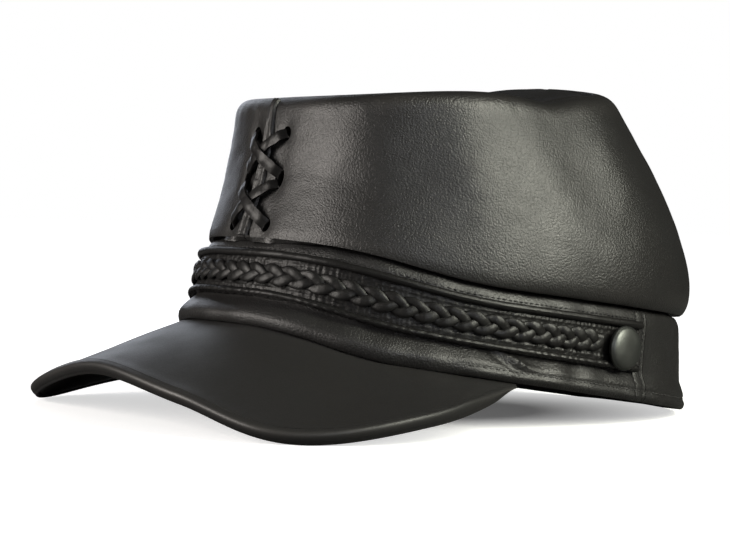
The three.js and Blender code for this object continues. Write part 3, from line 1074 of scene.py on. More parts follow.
@dataclass
class Crown:
    """Tall crown: two soft side walls, the sunken tip, and the lacing over the front seam."""

    bench: Bench
    form: HatForm
    finishes: Finishes
    columns: int = 250
    rows: int = 104
    seam_depth: float = 0.9 * MM
    seam_width: float = 1.6 * MM
    wear_run: float = 250.0 * MM
    wear_size: float = 30.0 * MM
    front_limit: float = 1.2
    soft_height: float = 0.28 * MM
    lower_curl: float = 0.5 * MM
    curl_share: float = 0.045
    soft_length: float = 42.0 * MM
    ripple_height: float = 0.06 * MM
    pucker_height: float = 0.14 * MM
    pucker_pitch: float = 9.0 * MM
    mean_reach: float = 82.0 * MM
    wall_height: float = 85.0 * MM
    lace_width: float = 3.8 * MM
    lace_thickness: float = 1.0 * MM
    lace_pinch: float = 0.22
    lace_rounding: float = 0.55
    lace_crease: float = 0.1 * MM
    lace_crease_length: float = 4.0 * MM
    lace_run: float = 30.0 * MM
    lace_reach: float = 21.0 * MM
    lace_row_spacing: float = 16.7 * MM
    lace_top_drop: float = 13.9 * MM
    lace_pair_spread: float = 3.4 * MM
    hole_width: float = 5.4 * MM
    hole_height: float = 6.0 * MM
    hole_press_depth: float = 0.9 * MM
    hole_press_spread: float = 2.2
    punch_share: float = 0.92
    punch_depth: float = 4.0 * MM
    tip_clearance: float = 0.1 * MM
    tip_fold: float = 0.5 * MM
    tip_fold_length: float = 36.0 * MM
    tip_seam_depth: float = 0.9 * MM
    strip_width: float = 6.0 * MM
    strip_thickness: float = 0.8 * MM
    strip_ridge: float = 0.5 * MM
    strip_fold: float = 0.12 * MM
    strip_fold_length: float = 5.0 * MM
    strip_narrowing: float = 0.4
    strip_skiving: float = 0.8 * MM
    strip_start: float = 0.02
    strip_span: float = 0.93

    @property
    def seam_turn(self) -> float:
        """Angle between a seam and the edge of a side wall."""
        return self.form.gap / self.form.rim_length

    @property
    def lace_rows(self) -> list[float]:
        """Shares of the crown wall at the three rows of holes."""
        drops = [self.lace_top_drop + row * self.lace_row_spacing for row in range(3)]
        return [self.form.share_below_rim(drop) for drop in drops]

    def softness(self, angle: Points, share: Points) -> Points:
        """Height of the folds and hollows of the soft wall over its plain form.

        Args:
            angle: angles from the front in radians, positive on the wearer's left.
            share: shares of the wall's height, 0 at its foot.

        Returns:
            Heights in metres.
        """
        across = turned(angle) * self.mean_reach
        along = share * self.wall_height
        soft = self.soft_height * uneven(across, along, self.soft_length, Seed.SOFT_WALL)
        soft = soft + self.ripple_height * uneven(across, along, self.soft_length / 3, Seed.RIPPLES)
        edges = 0.25 * groove(share, 0.07) + 0.5 * groove(share - self.form.shoulder_share, 0.06)
        pucker = uneven(across, along * 0.25, self.pucker_pitch, Seed.PUCKERS, 6)
        groups = uneven(across, along * 0.1, 6 * self.pucker_pitch, Seed.PUCKER_GROUPS, 4)
        pucker = pucker * smooth_step(-0.3, 0.9, groups)
        fade = smooth_step(0.0, 0.12, np.abs(turned(angle)))
        body = np.sin(math.pi * np.clip(share, 0, 1)) ** 0.5
        curl = self.lower_curl * groove(share, self.curl_share)
        return fade * (soft * body + self.pucker_height * edges * pucker) - curl

    def hole_tall(self, row: int) -> float:
        """Height of a lace hole; the middle one holds two thongs."""
        return self.hole_height + (self.lace_pair_spread if row == 1 else 0.0)

    def hole_press(self, angle: Points, share: Points) -> Points:
        """How far the leather is drawn in round the lace holes.

        Args:
            angle: angles from the front in radians, positive on the wearer's left.
            share: shares of the wall's height, 0 at its foot.

        Returns:
            Depths in metres.
        """
        press = np.zeros_like(angle)
        ahead = -self.form.crown(np.zeros_like(share), share)[..., 1]
        across = np.tan(np.clip(turned(angle), -self.front_limit, self.front_limit)) * ahead
        for row, level in enumerate(self.lace_rows):
            above = (share - level) * self.form.front_wall_height / (self.hole_tall(row) / 2)
            for side in (-1, 1):
                beside = (across - side * self.lace_reach / 2) / (self.hole_width / 2)
                away = (beside**2 + above**2) / self.hole_press_spread
                press = press + self.hole_press_depth * np.exp(-away)
        return press

    def skin(self, angle: Points, share: Points, height: Points | float = 0.0) -> Points:
        """Outer face of the crown with its soft folds."""
        lift = self.softness(angle, share) - self.hole_press(angle, share) + height
        return raised(self.form.crown, angle, share, lift)

    def make_side(self, side: Side) -> bpy.types.Object:
        """One soft side wall with its three lace holes.

        Args:
            side: the wearer's side.

        Returns:
            The wall.
        """
        name = f"crown_{side.name.lower()}"
        piece = self.bench.sheet(name, self.columns, self.rows)
        low = self.seam_turn if side is Side.LEFT else self.seam_turn - math.pi
        span = math.pi - 2 * self.seam_turn

        def pattern(across: Points, along: Points, _: Points) -> Points:
            """Places on the hat for flat places."""
            angle = low + across * span
            seam = groove((math.pi - np.abs(angle)) * self.mean_reach, self.seam_width)
            return self.skin(angle, along, -self.seam_depth * seam)

        def wear(across: Points, along: Points, _: Points) -> Points:
            """How rubbed the finish is there."""
            run = across * self.wear_run
            patchy = 0.6 + 0.4 * uneven(run, along * self.wall_height, self.wear_size, Seed.WALL_WEAR)
            return patchy * (0.8 * groove(along - 0.93, 0.035) + 0.5 * groove(along - 0.05, 0.04))

        self.bench.mould(piece, pattern, wear)
        self.bench.dress(piece, self.finishes.crown, self.finishes.flesh)
        self.bench.thicken(piece, self.form.crown_wall)
        for row in range(3):
            self.bench.cut(piece, self.hole_cutter(side, row))
        self.bench.smooth(piece)
        return self.bench.finish(piece, "crown_leather", f"crown_side_{side.name.lower()}")

    def hole_cutter(self, side: Side, row: int) -> bpy.types.Object:
        """Oval punch for one lace hole.

        Args:
            side: the wearer's side.
            row: row of holes, counted from the top.

        Returns:
            The punch, through the wall.
        """
        self.bench.clear()
        bpy.ops.mesh.primitive_cylinder_add(vertices=28, radius=1, depth=2)
        punch = bpy.context.object
        level = np.array([self.lace_rows[row]])
        angle = self.form.front_angle(np.array([side.value * self.lace_reach / 2]), level)
        centre = self.skin(angle, level)[0]
        normal = normals_of(self.form.crown, angle, level)[0]
        level_way = np.cross([0.0, 0.0, 1.0], normal)
        level_way /= np.linalg.norm(level_way)
        upright = np.cross(normal, level_way)
        half_width = self.hole_width / 2 * self.punch_share
        half_height = self.hole_tall(row) / 2 * self.punch_share

        def pattern(across: Points, along: Points, deep: Points) -> Points:
            """Places on the hat for flat places."""
            ways = np.outer(across * half_width, level_way) + np.outer(along * half_height, upright)
            return centre + ways + np.outer(deep * self.punch_depth, normal)

        self.bench.mould(punch, pattern)
        return punch

    def make_tip(self) -> bpy.types.Object:
        """Sunken top with a few soft folds.

        Returns:
            The tip.
        """
        piece = self.bench.sheet("crown_tip", 180, 48)
        form = self.form

        def pattern(across: Points, along: Points, _: Points) -> Points:
            """Places on the hat for flat places."""
            angle = across * math.tau
            edge = form.rim(angle) - outwards(angle) * (form.rim_radius + self.tip_clearance)
            centre = np.array([0.0, -form.rim_setforward, form.rim_height - form.tip_sink])
            point = centre * (1 - along[..., None]) + edge * along[..., None]
            rise = smooth_step(0.0, 1.0, along)
            point[..., 2] = centre[2] * (1 - rise) + edge[..., 2] * rise
            spot = (point[..., 0], point[..., 1])
            folds = self.tip_fold * uneven(*spot, self.tip_fold_length, Seed.TIP_FOLDS)
            point[..., 2] += folds * along * (1 - smooth_step(0.82, 1.0, along))
            point[..., 2] -= self.tip_seam_depth * groove(along - 0.975, 0.02)
            return point

        self.bench.mould(piece, pattern)
        self.bench.weld(piece, 0.05 * MM)
        self.bench.dress(piece, self.finishes.tip, self.finishes.flesh)
        self.bench.thicken(piece, form.crown_wall)
        self.bench.smooth(piece)
        return self.bench.finish(piece, "crown_leather", "crown_top")

    def make_strip(self) -> bpy.types.Object:
        """Strip over the front seam with a raised ridge along each side.

        Returns:
            The strip.
        """
        piece = self.bench.sheet("front_seam_strip", 24, 90)
        form = self.form

        def pattern(across: Points, along: Points, _: Points) -> Points:
            """Places on the hat for flat places."""
            share = self.strip_start + along * self.strip_span
            narrow = 1 - self.strip_narrowing * smooth_step(0.75, 1.0, along)
            place = (across - 0.5) * self.strip_width * narrow
            angle = form.front_angle(place, share)
            edge = np.abs(across - 0.5) * 2
            ridge = self.strip_ridge * groove(edge - 0.62, 0.17)
            climb = share * self.wall_height
            fold = self.strip_fold * uneven(place, climb, self.strip_fold_length, Seed.STRIP_FOLDS)
            drop = self.strip_skiving * smooth_step(0.86, 1.0, edge)
            return raised(form.crown, angle, share, form.gap + self.strip_thickness + ridge + fold - drop)

        self.bench.mould(piece, pattern)
        self.bench.dress(piece, self.finishes.crown)
        self.bench.thicken(piece, self.strip_thickness)
        self.bench.smooth(piece)
        return self.bench.finish(piece, "trim_leather", "front_seam_strip")

    def make_lace(self, name: str, start: Side, row: int, level: int) -> bpy.types.Object:
        """Flat thong from one hole to the next lower hole on the other side.

        Args:
            name: name of the new piece.
            start: side where the thong starts.
            row: row of its upper hole, counted from the top.
            level: 0 for the thong that lies below at the crossing and 1 for the one above.

        Returns:
            The thong.
        """
        piece = self.bench.sheet(name, 72, 8)
        form = self.form
        over_strip = 2 * form.gap + self.strip_thickness + self.strip_ridge + self.lace_thickness / 2
        crossing = over_strip + level * (self.lace_thickness + form.gap)
        beside = form.gap + self.lace_thickness / 2
        rise = form.front_wall_height - form.rim_radius
        shift = self.lace_pair_spread / 2 / rise * form.shoulder_share
        start_share = self.lace_rows[row] - (shift if row == 1 else 0.0)
        end_share = self.lace_rows[row + 1] + (shift if row == 0 else 0.0)

        def track(step: Points) -> tuple[Points, Points]:
            """Angles and shares of the crown under the thong."""
            share = start_share + (end_share - start_share) * step
            distance = start.value * self.lace_reach / 2 * (1 - 2 * step)
            return form.front_angle(distance, share), share

        def centre(step: Points) -> Points:
            """Middle line."""
            end = np.minimum(step, 1 - step)
            sink = (beside + form.crown_wall) * (1 - smooth_step(0.0, 0.12, end))
            hump = (crossing - beside) * np.exp(-(((step - 0.5) / 0.3) ** 4))
            return raised(form.crown, *track(step), beside + hump - sink)

        def pattern(step: Points, side: Points, _: Points) -> Points:
            """Places on the hat for flat places."""
            normal = normals_of(form.crown, *track(step))
            run = centre(step + 0.01) - centre(step - 0.01)
            run /= np.linalg.norm(run, axis=-1, keepdims=True)
            over = np.cross(normal, run)
            over /= np.linalg.norm(over, axis=-1, keepdims=True)
            up = np.cross(run, over)
            pinch = 1 - self.lace_pinch * groove(step - 0.5, 0.12)
            half = self.lace_width / 2 * pinch
            place = (side - 0.5) * 2
            crown = 0.5 * self.lace_thickness * (1 - self.lace_rounding * place**2)
            spot = (step * self.lace_run, side * self.lace_width)
            crease = self.lace_crease * uneven(*spot, self.lace_crease_length, Seed.LACE_CREASES + row)
            width = (place * half)[..., None]
            return centre(step) + over * width + up * (crown + crease)[..., None]

        self.bench.mould(piece, pattern)
        with self.bench.editing(piece):
            bpy.ops.mesh.flip_normals()
        self.bench.dress(piece, self.finishes.trim)
        self.bench.thicken(piece, self.lace_thickness)
        self.bench.weld(piece)
        self.bench.smooth(piece)
        return self.bench.finish(piece, "trim_leather", name)

    def make(self) -> None:
        """Makes all pieces of the crown."""
        for side in Side:
            self.make_side(side)
        self.make_tip()
        self.make_strip()
        self.make_lace("lace_upper_over", Side.RIGHT, 0, 1)
        self.make_lace("lace_upper_under", Side.LEFT, 0, 0)
        self.make_lace("lace_lower_over", Side.RIGHT, 1, 1)
        self.make_lace("lace_lower_under", Side.LEFT, 1, 0)


@dataclass(frozen=True)
class TugFold:
    """Short fold in the band; places and sizes in metres, tilt in degrees from level."""

    place: float
    height: float
    length: float
    width: float
    depth: float
    tilt: float


@dataclass
class Band:
    """Head band: a rolled front with a stitched hem and a plain panel at the back."""

    bench: Bench
    form: HatForm
    finishes: Finishes
    seam_angle: float = math.radians(117)
    mean_reach: float = 93.0 * MM
    wall_rows: float = 0.93
    tuck_depth: float = 3.0 * MM
    tuck_rise: float = 2.0 * MM
    hem_line: float = 4.2 * MM
    hem_start: float = math.radians(60)
    hem_stitch: Stitch = Stitch(2.7 * MM, 0.74, 0.6 * MM, 0.5 * MM, 0.12 * MM)
    side_stitch: Stitch = Stitch(2.7 * MM, 0.7, 0.6 * MM, 0.5 * MM, 0.12 * MM)
    side_lines: tuple[float, float] = (1.6 * MM, 7.0 * MM)
    fold_height: float = 0.25 * MM
    fold_length: float = 16.0 * MM
    hem_rounding: float = 0.5 * MM
    rounding_reach: float = 0.7 * MM
    hem_fade_start: float = math.radians(52)
    hem_fade_end: float = math.radians(66)
    hem_groove_depth: float = 0.6 * MM
    hem_groove_width: float = 0.9 * MM
    hem_swell: float = 0.35 * MM
    hem_swell_line: float = 2.0 * MM
    hem_swell_width: float = 1.5 * MM
    side_groove_depth: float = 0.4 * MM
    side_groove_width: float = 0.7 * MM
    side_sewn: float = 0.94
    crease_sink: float = 1.1 * MM
    crease_reach: float = 2.4 * MM
    tug_folds: tuple[TugFold, ...] = (
        TugFold(113 * MM, 7.0 * MM, 7.0 * MM, 1.3 * MM, 1.0 * MM, -24),
        TugFold(119 * MM, 5.4 * MM, 6.0 * MM, 1.0 * MM, 0.8 * MM, -10),
        TugFold(-116 * MM, 7.4 * MM, 6.5 * MM, 1.2 * MM, 0.7 * MM, 18),
    )

    def detail(self, angle: Points, share: Points) -> Points:
        """Height of folds, seams and stitch grooves over the plain band.

        Args:
            angle: angles from the front in radians, positive on the wearer's left.
            share: shares of the wall's height, 0 at its foot.

        Returns:
            Heights in metres.
        """
        tall = self.form.band_height(angle)
        above = share * tall
        across = turned(angle) * self.mean_reach
        swing = np.abs(turned(angle))
        hem_fade = smooth_step(self.hem_fade_start, self.hem_fade_end, swing)
        lift = self.fold_height * uneven(across, above, self.fold_length, Seed.BAND_FOLDS)
        pressed = self.hem_groove_depth * groove(above - self.hem_line, self.hem_groove_width)
        swollen = self.hem_swell * groove(above - self.hem_swell_line, self.hem_swell_width)
        lift = lift + hem_fade * (swollen - pressed)
        lift = lift - self.crease_sink * groove(tall - above, self.crease_reach)
        lift = lift + self.tugs(across, above)
        for line in self.side_lines:
            beside = (swing - self.seam_angle) * self.mean_reach + line
            lift = lift - self.side_groove_depth * groove(beside, self.side_groove_width)
        return lift

    def tugs(self, across: Points, above: Points) -> Points:
        """Small folds where the end of the peak draws the band in.

        Args:
            across: distances round the head from the front in metres.
            above: distances above the hem in metres.

        Returns:
            Heights in metres.
        """
        lift = np.zeros_like(across)
        for row in self.tug_folds:
            heading = math.radians(row.tilt)
            beside, up = across - row.place, above - row.height
            along = beside * math.cos(heading) + up * math.sin(heading)
            off = up * math.cos(heading) - beside * math.sin(heading)
            fold = groove(off - 1.6 * row.width, row.width) - groove(off, row.width)
            lift = lift + row.depth * groove(along, row.length) * fold
        return lift

    def skin(self, angle: Points, share: Points, height: Points | float = 0.0) -> Points:
        """Outer face of the band with its details."""
        return raised(self.form.band, angle, share, self.detail(angle, share) + height)

    def make_wall(self, name: str, start: float, end: float, columns: int, node: str) -> bpy.types.Object:
        """One stretch of the band's wall.

        Args:
            name: name of the piece.
            start: angle of its start.
            end: angle of its end.
            columns: number of faces along the sheet.
            node: name of the node that the piece replaces.

        Returns:
            The wall.
        """
        piece = self.bench.sheet(name, columns, 44)
        form = self.form

        def pattern(across: Points, along: Points, _: Points) -> Points:
            """Places on the hat for flat places."""
            angle = start + across * (end - start)
            tall = form.band_height(angle)
            wall = np.minimum(along / self.wall_rows, 1.0)
            tuck = np.maximum(along - self.wall_rows, 0.0) / (1 - self.wall_rows)
            share = wall * (1 - form.gap / tall) + tuck * self.tuck_rise / tall
            rounding = self.hem_rounding * groove(wall * tall, self.rounding_reach)
            return self.skin(angle, share, -rounding - self.tuck_depth * np.sqrt(tuck))

        self.bench.mould(piece, pattern)
        self.bench.dress(piece, self.finishes.band, self.finishes.flesh)
        self.bench.thicken(piece, form.band_wall)
        self.bench.smooth(piece)
        return self.bench.finish(piece, "band_leather", node)

    def make_hem_stitches(self) -> bpy.types.Object:
        """Stitches along the hem, from behind the peak's ends round the back.

        Returns:
            All stitches in one piece.
        """
        span = math.tau - 2 * self.hem_start
        count = int(span * self.mean_reach / self.hem_stitch.pitch)
        piece = self.bench.stitch_row("hem_stitches", count, self.hem_stitch)

        def pattern(along: Points, across: Points, up: Points) -> Points:
            """Places on the hat for flat places."""
            angle = self.hem_start + (along + 0.5) / count * span
            share = (self.hem_line + across) / self.form.band_height(angle)
            return self.skin(angle, share, up + self.hem_stitch.lift)

        self.bench.mould(piece, pattern)
        self.bench.dress(piece, self.finishes.thread)
        self.bench.smooth(piece)
        return self.bench.finish(piece, "trim_leather")

    def make_side_stitches(self, side: Side, line: float) -> bpy.types.Object:
        """Upright row of stitches at the side seam.

        Args:
            side: the wearer's side.
            line: distance of the row from the seam in metres.

        Returns:
            All stitches of the row in one piece.
        """
        middle = np.array([self.seam_angle])
        height = float(self.form.band_height(middle)[0])
        count = int(self.side_sewn * height / self.side_stitch.pitch)
        name = f"side_stitches_{side.name.lower()}_{'outer' if line == self.side_lines[0] else 'inner'}"
        piece = self.bench.stitch_row(name, count, self.side_stitch)

        def pattern(along: Points, across: Points, up: Points) -> Points:
            """Places on the hat for flat places."""
            angle = side.value * (self.seam_angle - (line + across) / self.mean_reach)
            share = (1 - self.side_sewn) / 2 + (along + 0.5) / count * self.side_sewn
            return self.skin(angle, share, up + self.side_stitch.lift)

        self.bench.mould(piece, pattern)
        self.bench.dress(piece, self.finishes.thread)
        self.bench.weld(piece)
        self.bench.smooth(piece)
        return self.bench.finish(piece, "trim_leather")

    def make(self) -> None:
        """Makes all pieces of the band."""
        turn = self.form.gap / self.form.hem_width
        seam = self.seam_angle
        self.make_wall("band_front_wall", turn - seam, seam - turn, 480, "band_front")
        self.make_wall("band_back_wall", seam + turn, math.tau - seam - turn, 260, "band_back")
        self.make_hem_stitches()
        for side in Side:
            for line in self.side_lines:
                self.make_side_stitches(side, line)


@dataclass
class Strap:
    """Gathered strap between two rolled edges, with a flat plait along its middle."""

    bench: Bench
    form: HatForm
    finishes: Finishes
    mean_reach: float = 92.9 * MM
    thickness: float = 1.0 * MM
    end_angle: float = math.radians(113)
    piping_width: float = 3.0 * MM
    braid_width: float = 8.6 * MM
    braid_pitch: float = 7.6 * MM
    braid_end: float = math.radians(98)
    strand_width: float = 4.0 * MM
    strand_thickness: float = 1.5 * MM
    weave_height: float = 0.55 * MM
    plait_drift: float = 0.35
    plait_drift_length: float = 60.0 * MM
    plait_narrowing: float = 0.55
    plait_end_reach: float = 6.0 * MM
    strand_swell: float = 0.14
    strand_unevenness: float = 0.1
    strand_unevenness_length: float = 11.0 * MM
    strand_creasing: float = 0.12
    strand_crease_length: float = 3.0 * MM
    scallop_pitch: float = 4.0 * MM
    scallop_shift: float = 0.8 * MM
    piping_unevenness: float = 0.04
    piping_unevenness_length: float = 14.0 * MM
    gather_pitch: float = 1.7 * MM
    gather_height: float = 0.27 * MM
    gather_sway: float = 0.5 * MM
    gather_group: float = 5.0 * MM
    gather_lumps: float = 0.12 * MM
    lump_size: float = 2.6 * MM
    flat_height: float = 14.0 * MM
    row_depth: float = 0.35 * MM
    lap: float = 0.2 * MM
    stitch: Stitch = Stitch(2.5 * MM, 0.72, 0.5 * MM, 0.45 * MM, 0.2 * MM)
    stitch_rise: float = 0.9 * MM

    def folds(self, run: Points, along: Points) -> Points:
        """The small gathers of the strap, 0 in a crease and 1 on a fold."""
        return gathers(run + self.gather_sway * np.sin(9 * along), self.gather_pitch, Seed.GATHERS)

    def make_strap(self) -> bpy.types.Object:
        """Flat of the strap, drawn into small gathers above and below the plait.

        Returns:
            The flat of the strap.
        """
        piece = self.bench.sheet("strap_leather", 760, 22)
        form = self.form
        inset = self.piping_width - self.lap

        def pattern(across: Points, along: Points, _: Points) -> Points:
            """Places on the hat for flat places."""
            angle = (across * 2 - 1) * self.end_angle
            tall = form.band_height(angle)
            low = form.strap_bottom + inset / tall
            high = form.strap_top - inset / tall
            share = low + (high - low) * along
            run = angle * self.mean_reach
            rise = along * self.flat_height
            groups = 0.75 + 0.25 * uneven(run, rise, self.gather_group, Seed.GATHER_HEIGHTS)
            folds = self.folds(run, along) * groups
            beside = np.abs(along - 0.5) * 2
            zone = smooth_step(0.45, 0.62, beside) * (1 - 0.6 * smooth_step(0.86, 1.0, beside))
            sewn = self.row_depth * (groove(beside - 0.95, 0.06) + groove(beside - 0.64, 0.06))
            lumps = self.gather_lumps * uneven(run, rise, self.lump_size, Seed.GATHER_LUMPS)
            height = form.gap + self.thickness + zone * (self.gather_height * folds + lumps) - sewn
            return raised(form.band, angle, share, height)

        def wear(across: Points, along: Points, _: Points) -> Points:
            """Lighter and glossier on the crests of the gathers."""
            return 0.15 * self.folds((across * 2 - 1) * self.end_angle * self.mean_reach, along) ** 3

        self.bench.mould(piece, pattern, wear)
        self.bench.dress(piece, self.finishes.trim)
        self.bench.thicken(piece, self.thickness * 0.9)
        self.bench.smooth(piece, 70)
        return self.bench.finish(piece, "band_leather", "strap")

    def make_stitches(self) -> bpy.types.Object:
        """Stitches just above the upper rolled edge, which hold the strap on the band.

        Returns:
            All stitches in one piece.
        """
        reach = self.end_angle * self.mean_reach
        count = int(2 * reach / self.stitch.pitch)
        piece = self.bench.stitch_row("strap_stitches", count, self.stitch)
        form = self.form

        def pattern(along: Points, across: Points, up: Points) -> Points:
            """Places on the hat for flat places."""
            angle = ((along + 0.5) / count * 2 - 1) * self.end_angle
            return form.on_band(angle, form.strap_top, across + self.stitch_rise, up + self.stitch.lift)

        self.bench.mould(piece, pattern)
        self.bench.dress(piece, self.finishes.thread)
        self.bench.smooth(piece)
        return self.bench.finish(piece, "trim_leather")

    def make_piping(self, name: str, edge: float, side: int, scallop: float) -> bpy.types.Object:
        """Rolled edge of the strap, puckered between its stitches where it is scalloped.

        Args:
            name: name of the new piece.
            edge: share of the band's height at which it lies.
            side: 1 if the edge hangs below its line and -1 if it stands on it.
            scallop: share of its radius by which it puckers.

        Returns:
            The rolled edge.
        """
        piece = self.bench.sheet(name, 560, 14)
        form = self.form
        radius = self.piping_width / 2

        def pattern(across: Points, along: Points, _: Points) -> Points:
            """Places on the hat for flat places."""
            angle = (across * 2 - 1) * self.end_angle
            turn = along * math.tau
            run = angle * self.mean_reach
            pucker = gathers(run, self.scallop_pitch, Seed.PIPING_PUCKERS) - 0.6
            soft = uneven(run, turn * 2 * MM, self.piping_unevenness_length, Seed.PIPING_SWELLS)
            swell = 1 + scallop * pucker + self.piping_unevenness * soft
            inner = scallop * self.scallop_shift * pucker * side
            shift = radius * (swell * np.sin(turn) - side) + inner
            return form.on_band(angle, edge, shift, form.gap + radius + radius * swell * np.cos(turn))

        self.bench.mould(piece, pattern)
        self.bench.dress(piece, self.finishes.trim)
        self.bench.weld(piece, fill=True)
        self.bench.smooth(piece)
        return self.bench.finish(piece, "trim_leather", name.replace("rolled_edge", "strap_piping"))

    def make_strand(self, number: int) -> bpy.types.Object:
        """One of the three flat strands of the plait.

        Args:
            number: number of the strand, 0 to 2.

        Returns:
            The strand.
        """
        piece = self.bench.sheet(f"braid_strand_{number}", 620, 12)
        form = self.form
        swing = (self.braid_width - self.strand_width) / 2 + self.lap
        base = form.gap + self.thickness + self.strand_thickness / 2 + self.weave_height - self.lap
        middle = (form.strap_bottom + form.strap_top) / 2
        reach = self.braid_end * self.mean_reach

        def centre(run: Points) -> Points:
            """Middle line."""
            drift = uneven(run, np.zeros_like(run), self.plait_drift_length, Seed.PLAIT_DRIFT)
            turn = math.tau * (run / (3 * self.braid_pitch) + number / 3) + self.plait_drift * drift
            ends = smooth_step(reach - self.plait_end_reach, reach, np.abs(run))
            narrow = 1 - self.plait_narrowing * ends
            side = narrow * swing * np.sin(turn)
            return np.stack([run, side, -self.weave_height * np.sin(2 * turn)], axis=-1)

        def pattern(across: Points, along: Points, _: Points) -> Points:
            """Places on the hat for flat places."""
            run = (across * 2 - 1) * reach
            turn = along * math.tau
            heading = centre(run + 0.2 * MM) - centre(run - 0.2 * MM)
            heading /= np.linalg.norm(heading, axis=-1, keepdims=True)
            over = np.cross([0.0, 0.0, 1.0], heading)
            over /= np.linalg.norm(over, axis=-1, keepdims=True)
            up = np.cross(heading, over)
            place = centre(run)
            crown = place[:, 2] / self.weave_height
            half = self.strand_width / 2 * (1 - self.strand_swell + self.strand_swell * crown)
            level = np.zeros_like(run)
            soft = uneven(run, level, self.strand_unevenness_length, Seed.STRAND_WIDTHS + number)
            half = half * (1 + self.strand_unevenness * soft)
            creases = uneven(run, turn * MM, self.strand_crease_length, Seed.STRAND_DEPTHS + number)
            deep = self.strand_thickness / 2 * (1 + self.strand_creasing * creases)
            flat = place + over * (half * np.cos(turn))[:, None] + up * (deep * np.sin(turn))[:, None]
            angle = flat[:, 0] / self.mean_reach
            return form.on_band(angle, middle, flat[:, 1], base + flat[:, 2])

        self.bench.mould(piece, pattern)
        self.bench.dress(piece, self.finishes.trim)
        self.bench.weld(piece, fill=True)
        self.bench.smooth(piece)
        return self.bench.finish(piece, "trim_leather", "braid")

    def make(self) -> None:
        """Makes all pieces of the strap."""
        self.make_strap()
        self.make_stitches()
        self.make_piping("rolled_edge_upper", self.form.strap_top, 1, 0.02)
        self.make_piping("rolled_edge_lower", self.form.strap_bottom, -1, 0.22)
        for number in range(3):
            self.make_strand(number)


@dataclass
class Button:
    """Domed snap cap on a short shank."""

    bench: Bench
    form: HatForm
    finishes: Finishes
    strap: Strap
    diameter: float = 16.8 * MM
    cap_height: float = 3.4 * MM
    rim_height: float = 1.45 * MM
    rim_radius: float = 0.75 * MM
    shank_diameter: float = 8.0 * MM
    shank_recess: float = 0.3 * MM
    angle: float = math.radians(105.5)
    share: float = 0.55

    def profile(self) -> list[tuple[float, float]]:
        """Radius and height along the outline, from under the shank to the crown of the cap.

        Returns:
            Radius and height of each ring in metres.
        """
        radius = self.diameter / 2
        seat = 2 * self.form.gap + self.strap.thickness
        under = self.strap.piping_width + 2 * self.form.gap
        outline = [(self.shank_diameter / 2, seat), (self.shank_diameter / 2, under - self.shank_recess)]
        outline.append((radius * 0.93, under))
        for step in range(1, 7):
            turn = math.radians(-90 + step * 28)
            edge = radius * (0.955 + 0.045 * math.cos(turn))
            outline.append((edge, under + self.rim_radius * (1 + math.sin(turn))))
        for step in range(1, 12):
            turn = math.radians(90 * step / 12)
            dome = (self.cap_height - self.rim_height) * math.sin(turn) ** 0.9
            outline.append((radius * 0.94 * math.cos(turn), under + self.rim_height + dome))
        return outline

    def make(self, side: Side) -> bpy.types.Object:
        """Turns the button, extruding ring after ring, and sets it on the strap.

        Args:
            side: the wearer's side.

        Returns:
            The button.
        """
        outline = self.profile()
        self.bench.clear()
        bpy.ops.mesh.primitive_circle_add(
            vertices=56, radius=outline[0][0], fill_type="NGON", location=(0, 0, outline[0][1])
        )
        piece = bpy.context.object
        piece.name = f"snap_button_{side.name.lower()}"
        bpy.ops.object.transform_apply(location=True)
        with self.bench.editing(piece):
            for (radius, height), (next_radius, next_height) in zip(outline, outline[1:]):
                climb = (0, 0, next_height - height)
                bpy.ops.mesh.extrude_region_move(TRANSFORM_OT_translate={"value": climb})
                scale = next_radius / radius
                bpy.ops.transform.resize(value=(scale, scale, 1), center_override=(0, 0, next_height))
            bpy.ops.mesh.merge(type="CENTER")
            bpy.ops.mesh.select_all(action="SELECT")
            bpy.ops.mesh.fill_holes(sides=0)
            bpy.ops.mesh.normals_make_consistent(inside=False)
        angle = np.array([side.value * self.angle])
        share = np.array([self.share])
        seat = self.form.band(angle, share)[0]
        normal = normals_of(self.form.band, angle, share)[0]
        level = np.cross([0.0, 0.0, 1.0], normal)
        level /= np.linalg.norm(level)
        upright = np.cross(normal, level)

        def pattern(across: Points, along: Points, up: Points) -> Points:
            """Places on the hat for flat places."""
            return seat + np.outer(across, level) + np.outer(along, upright) + np.outer(up, normal)

        self.bench.mould(piece, pattern)
        self.bench.dress(piece, self.finishes.metal)
        self.bench.smooth(piece, 60)
        return self.bench.finish(piece, "button_metal", f"button_{side.name.lower()}")


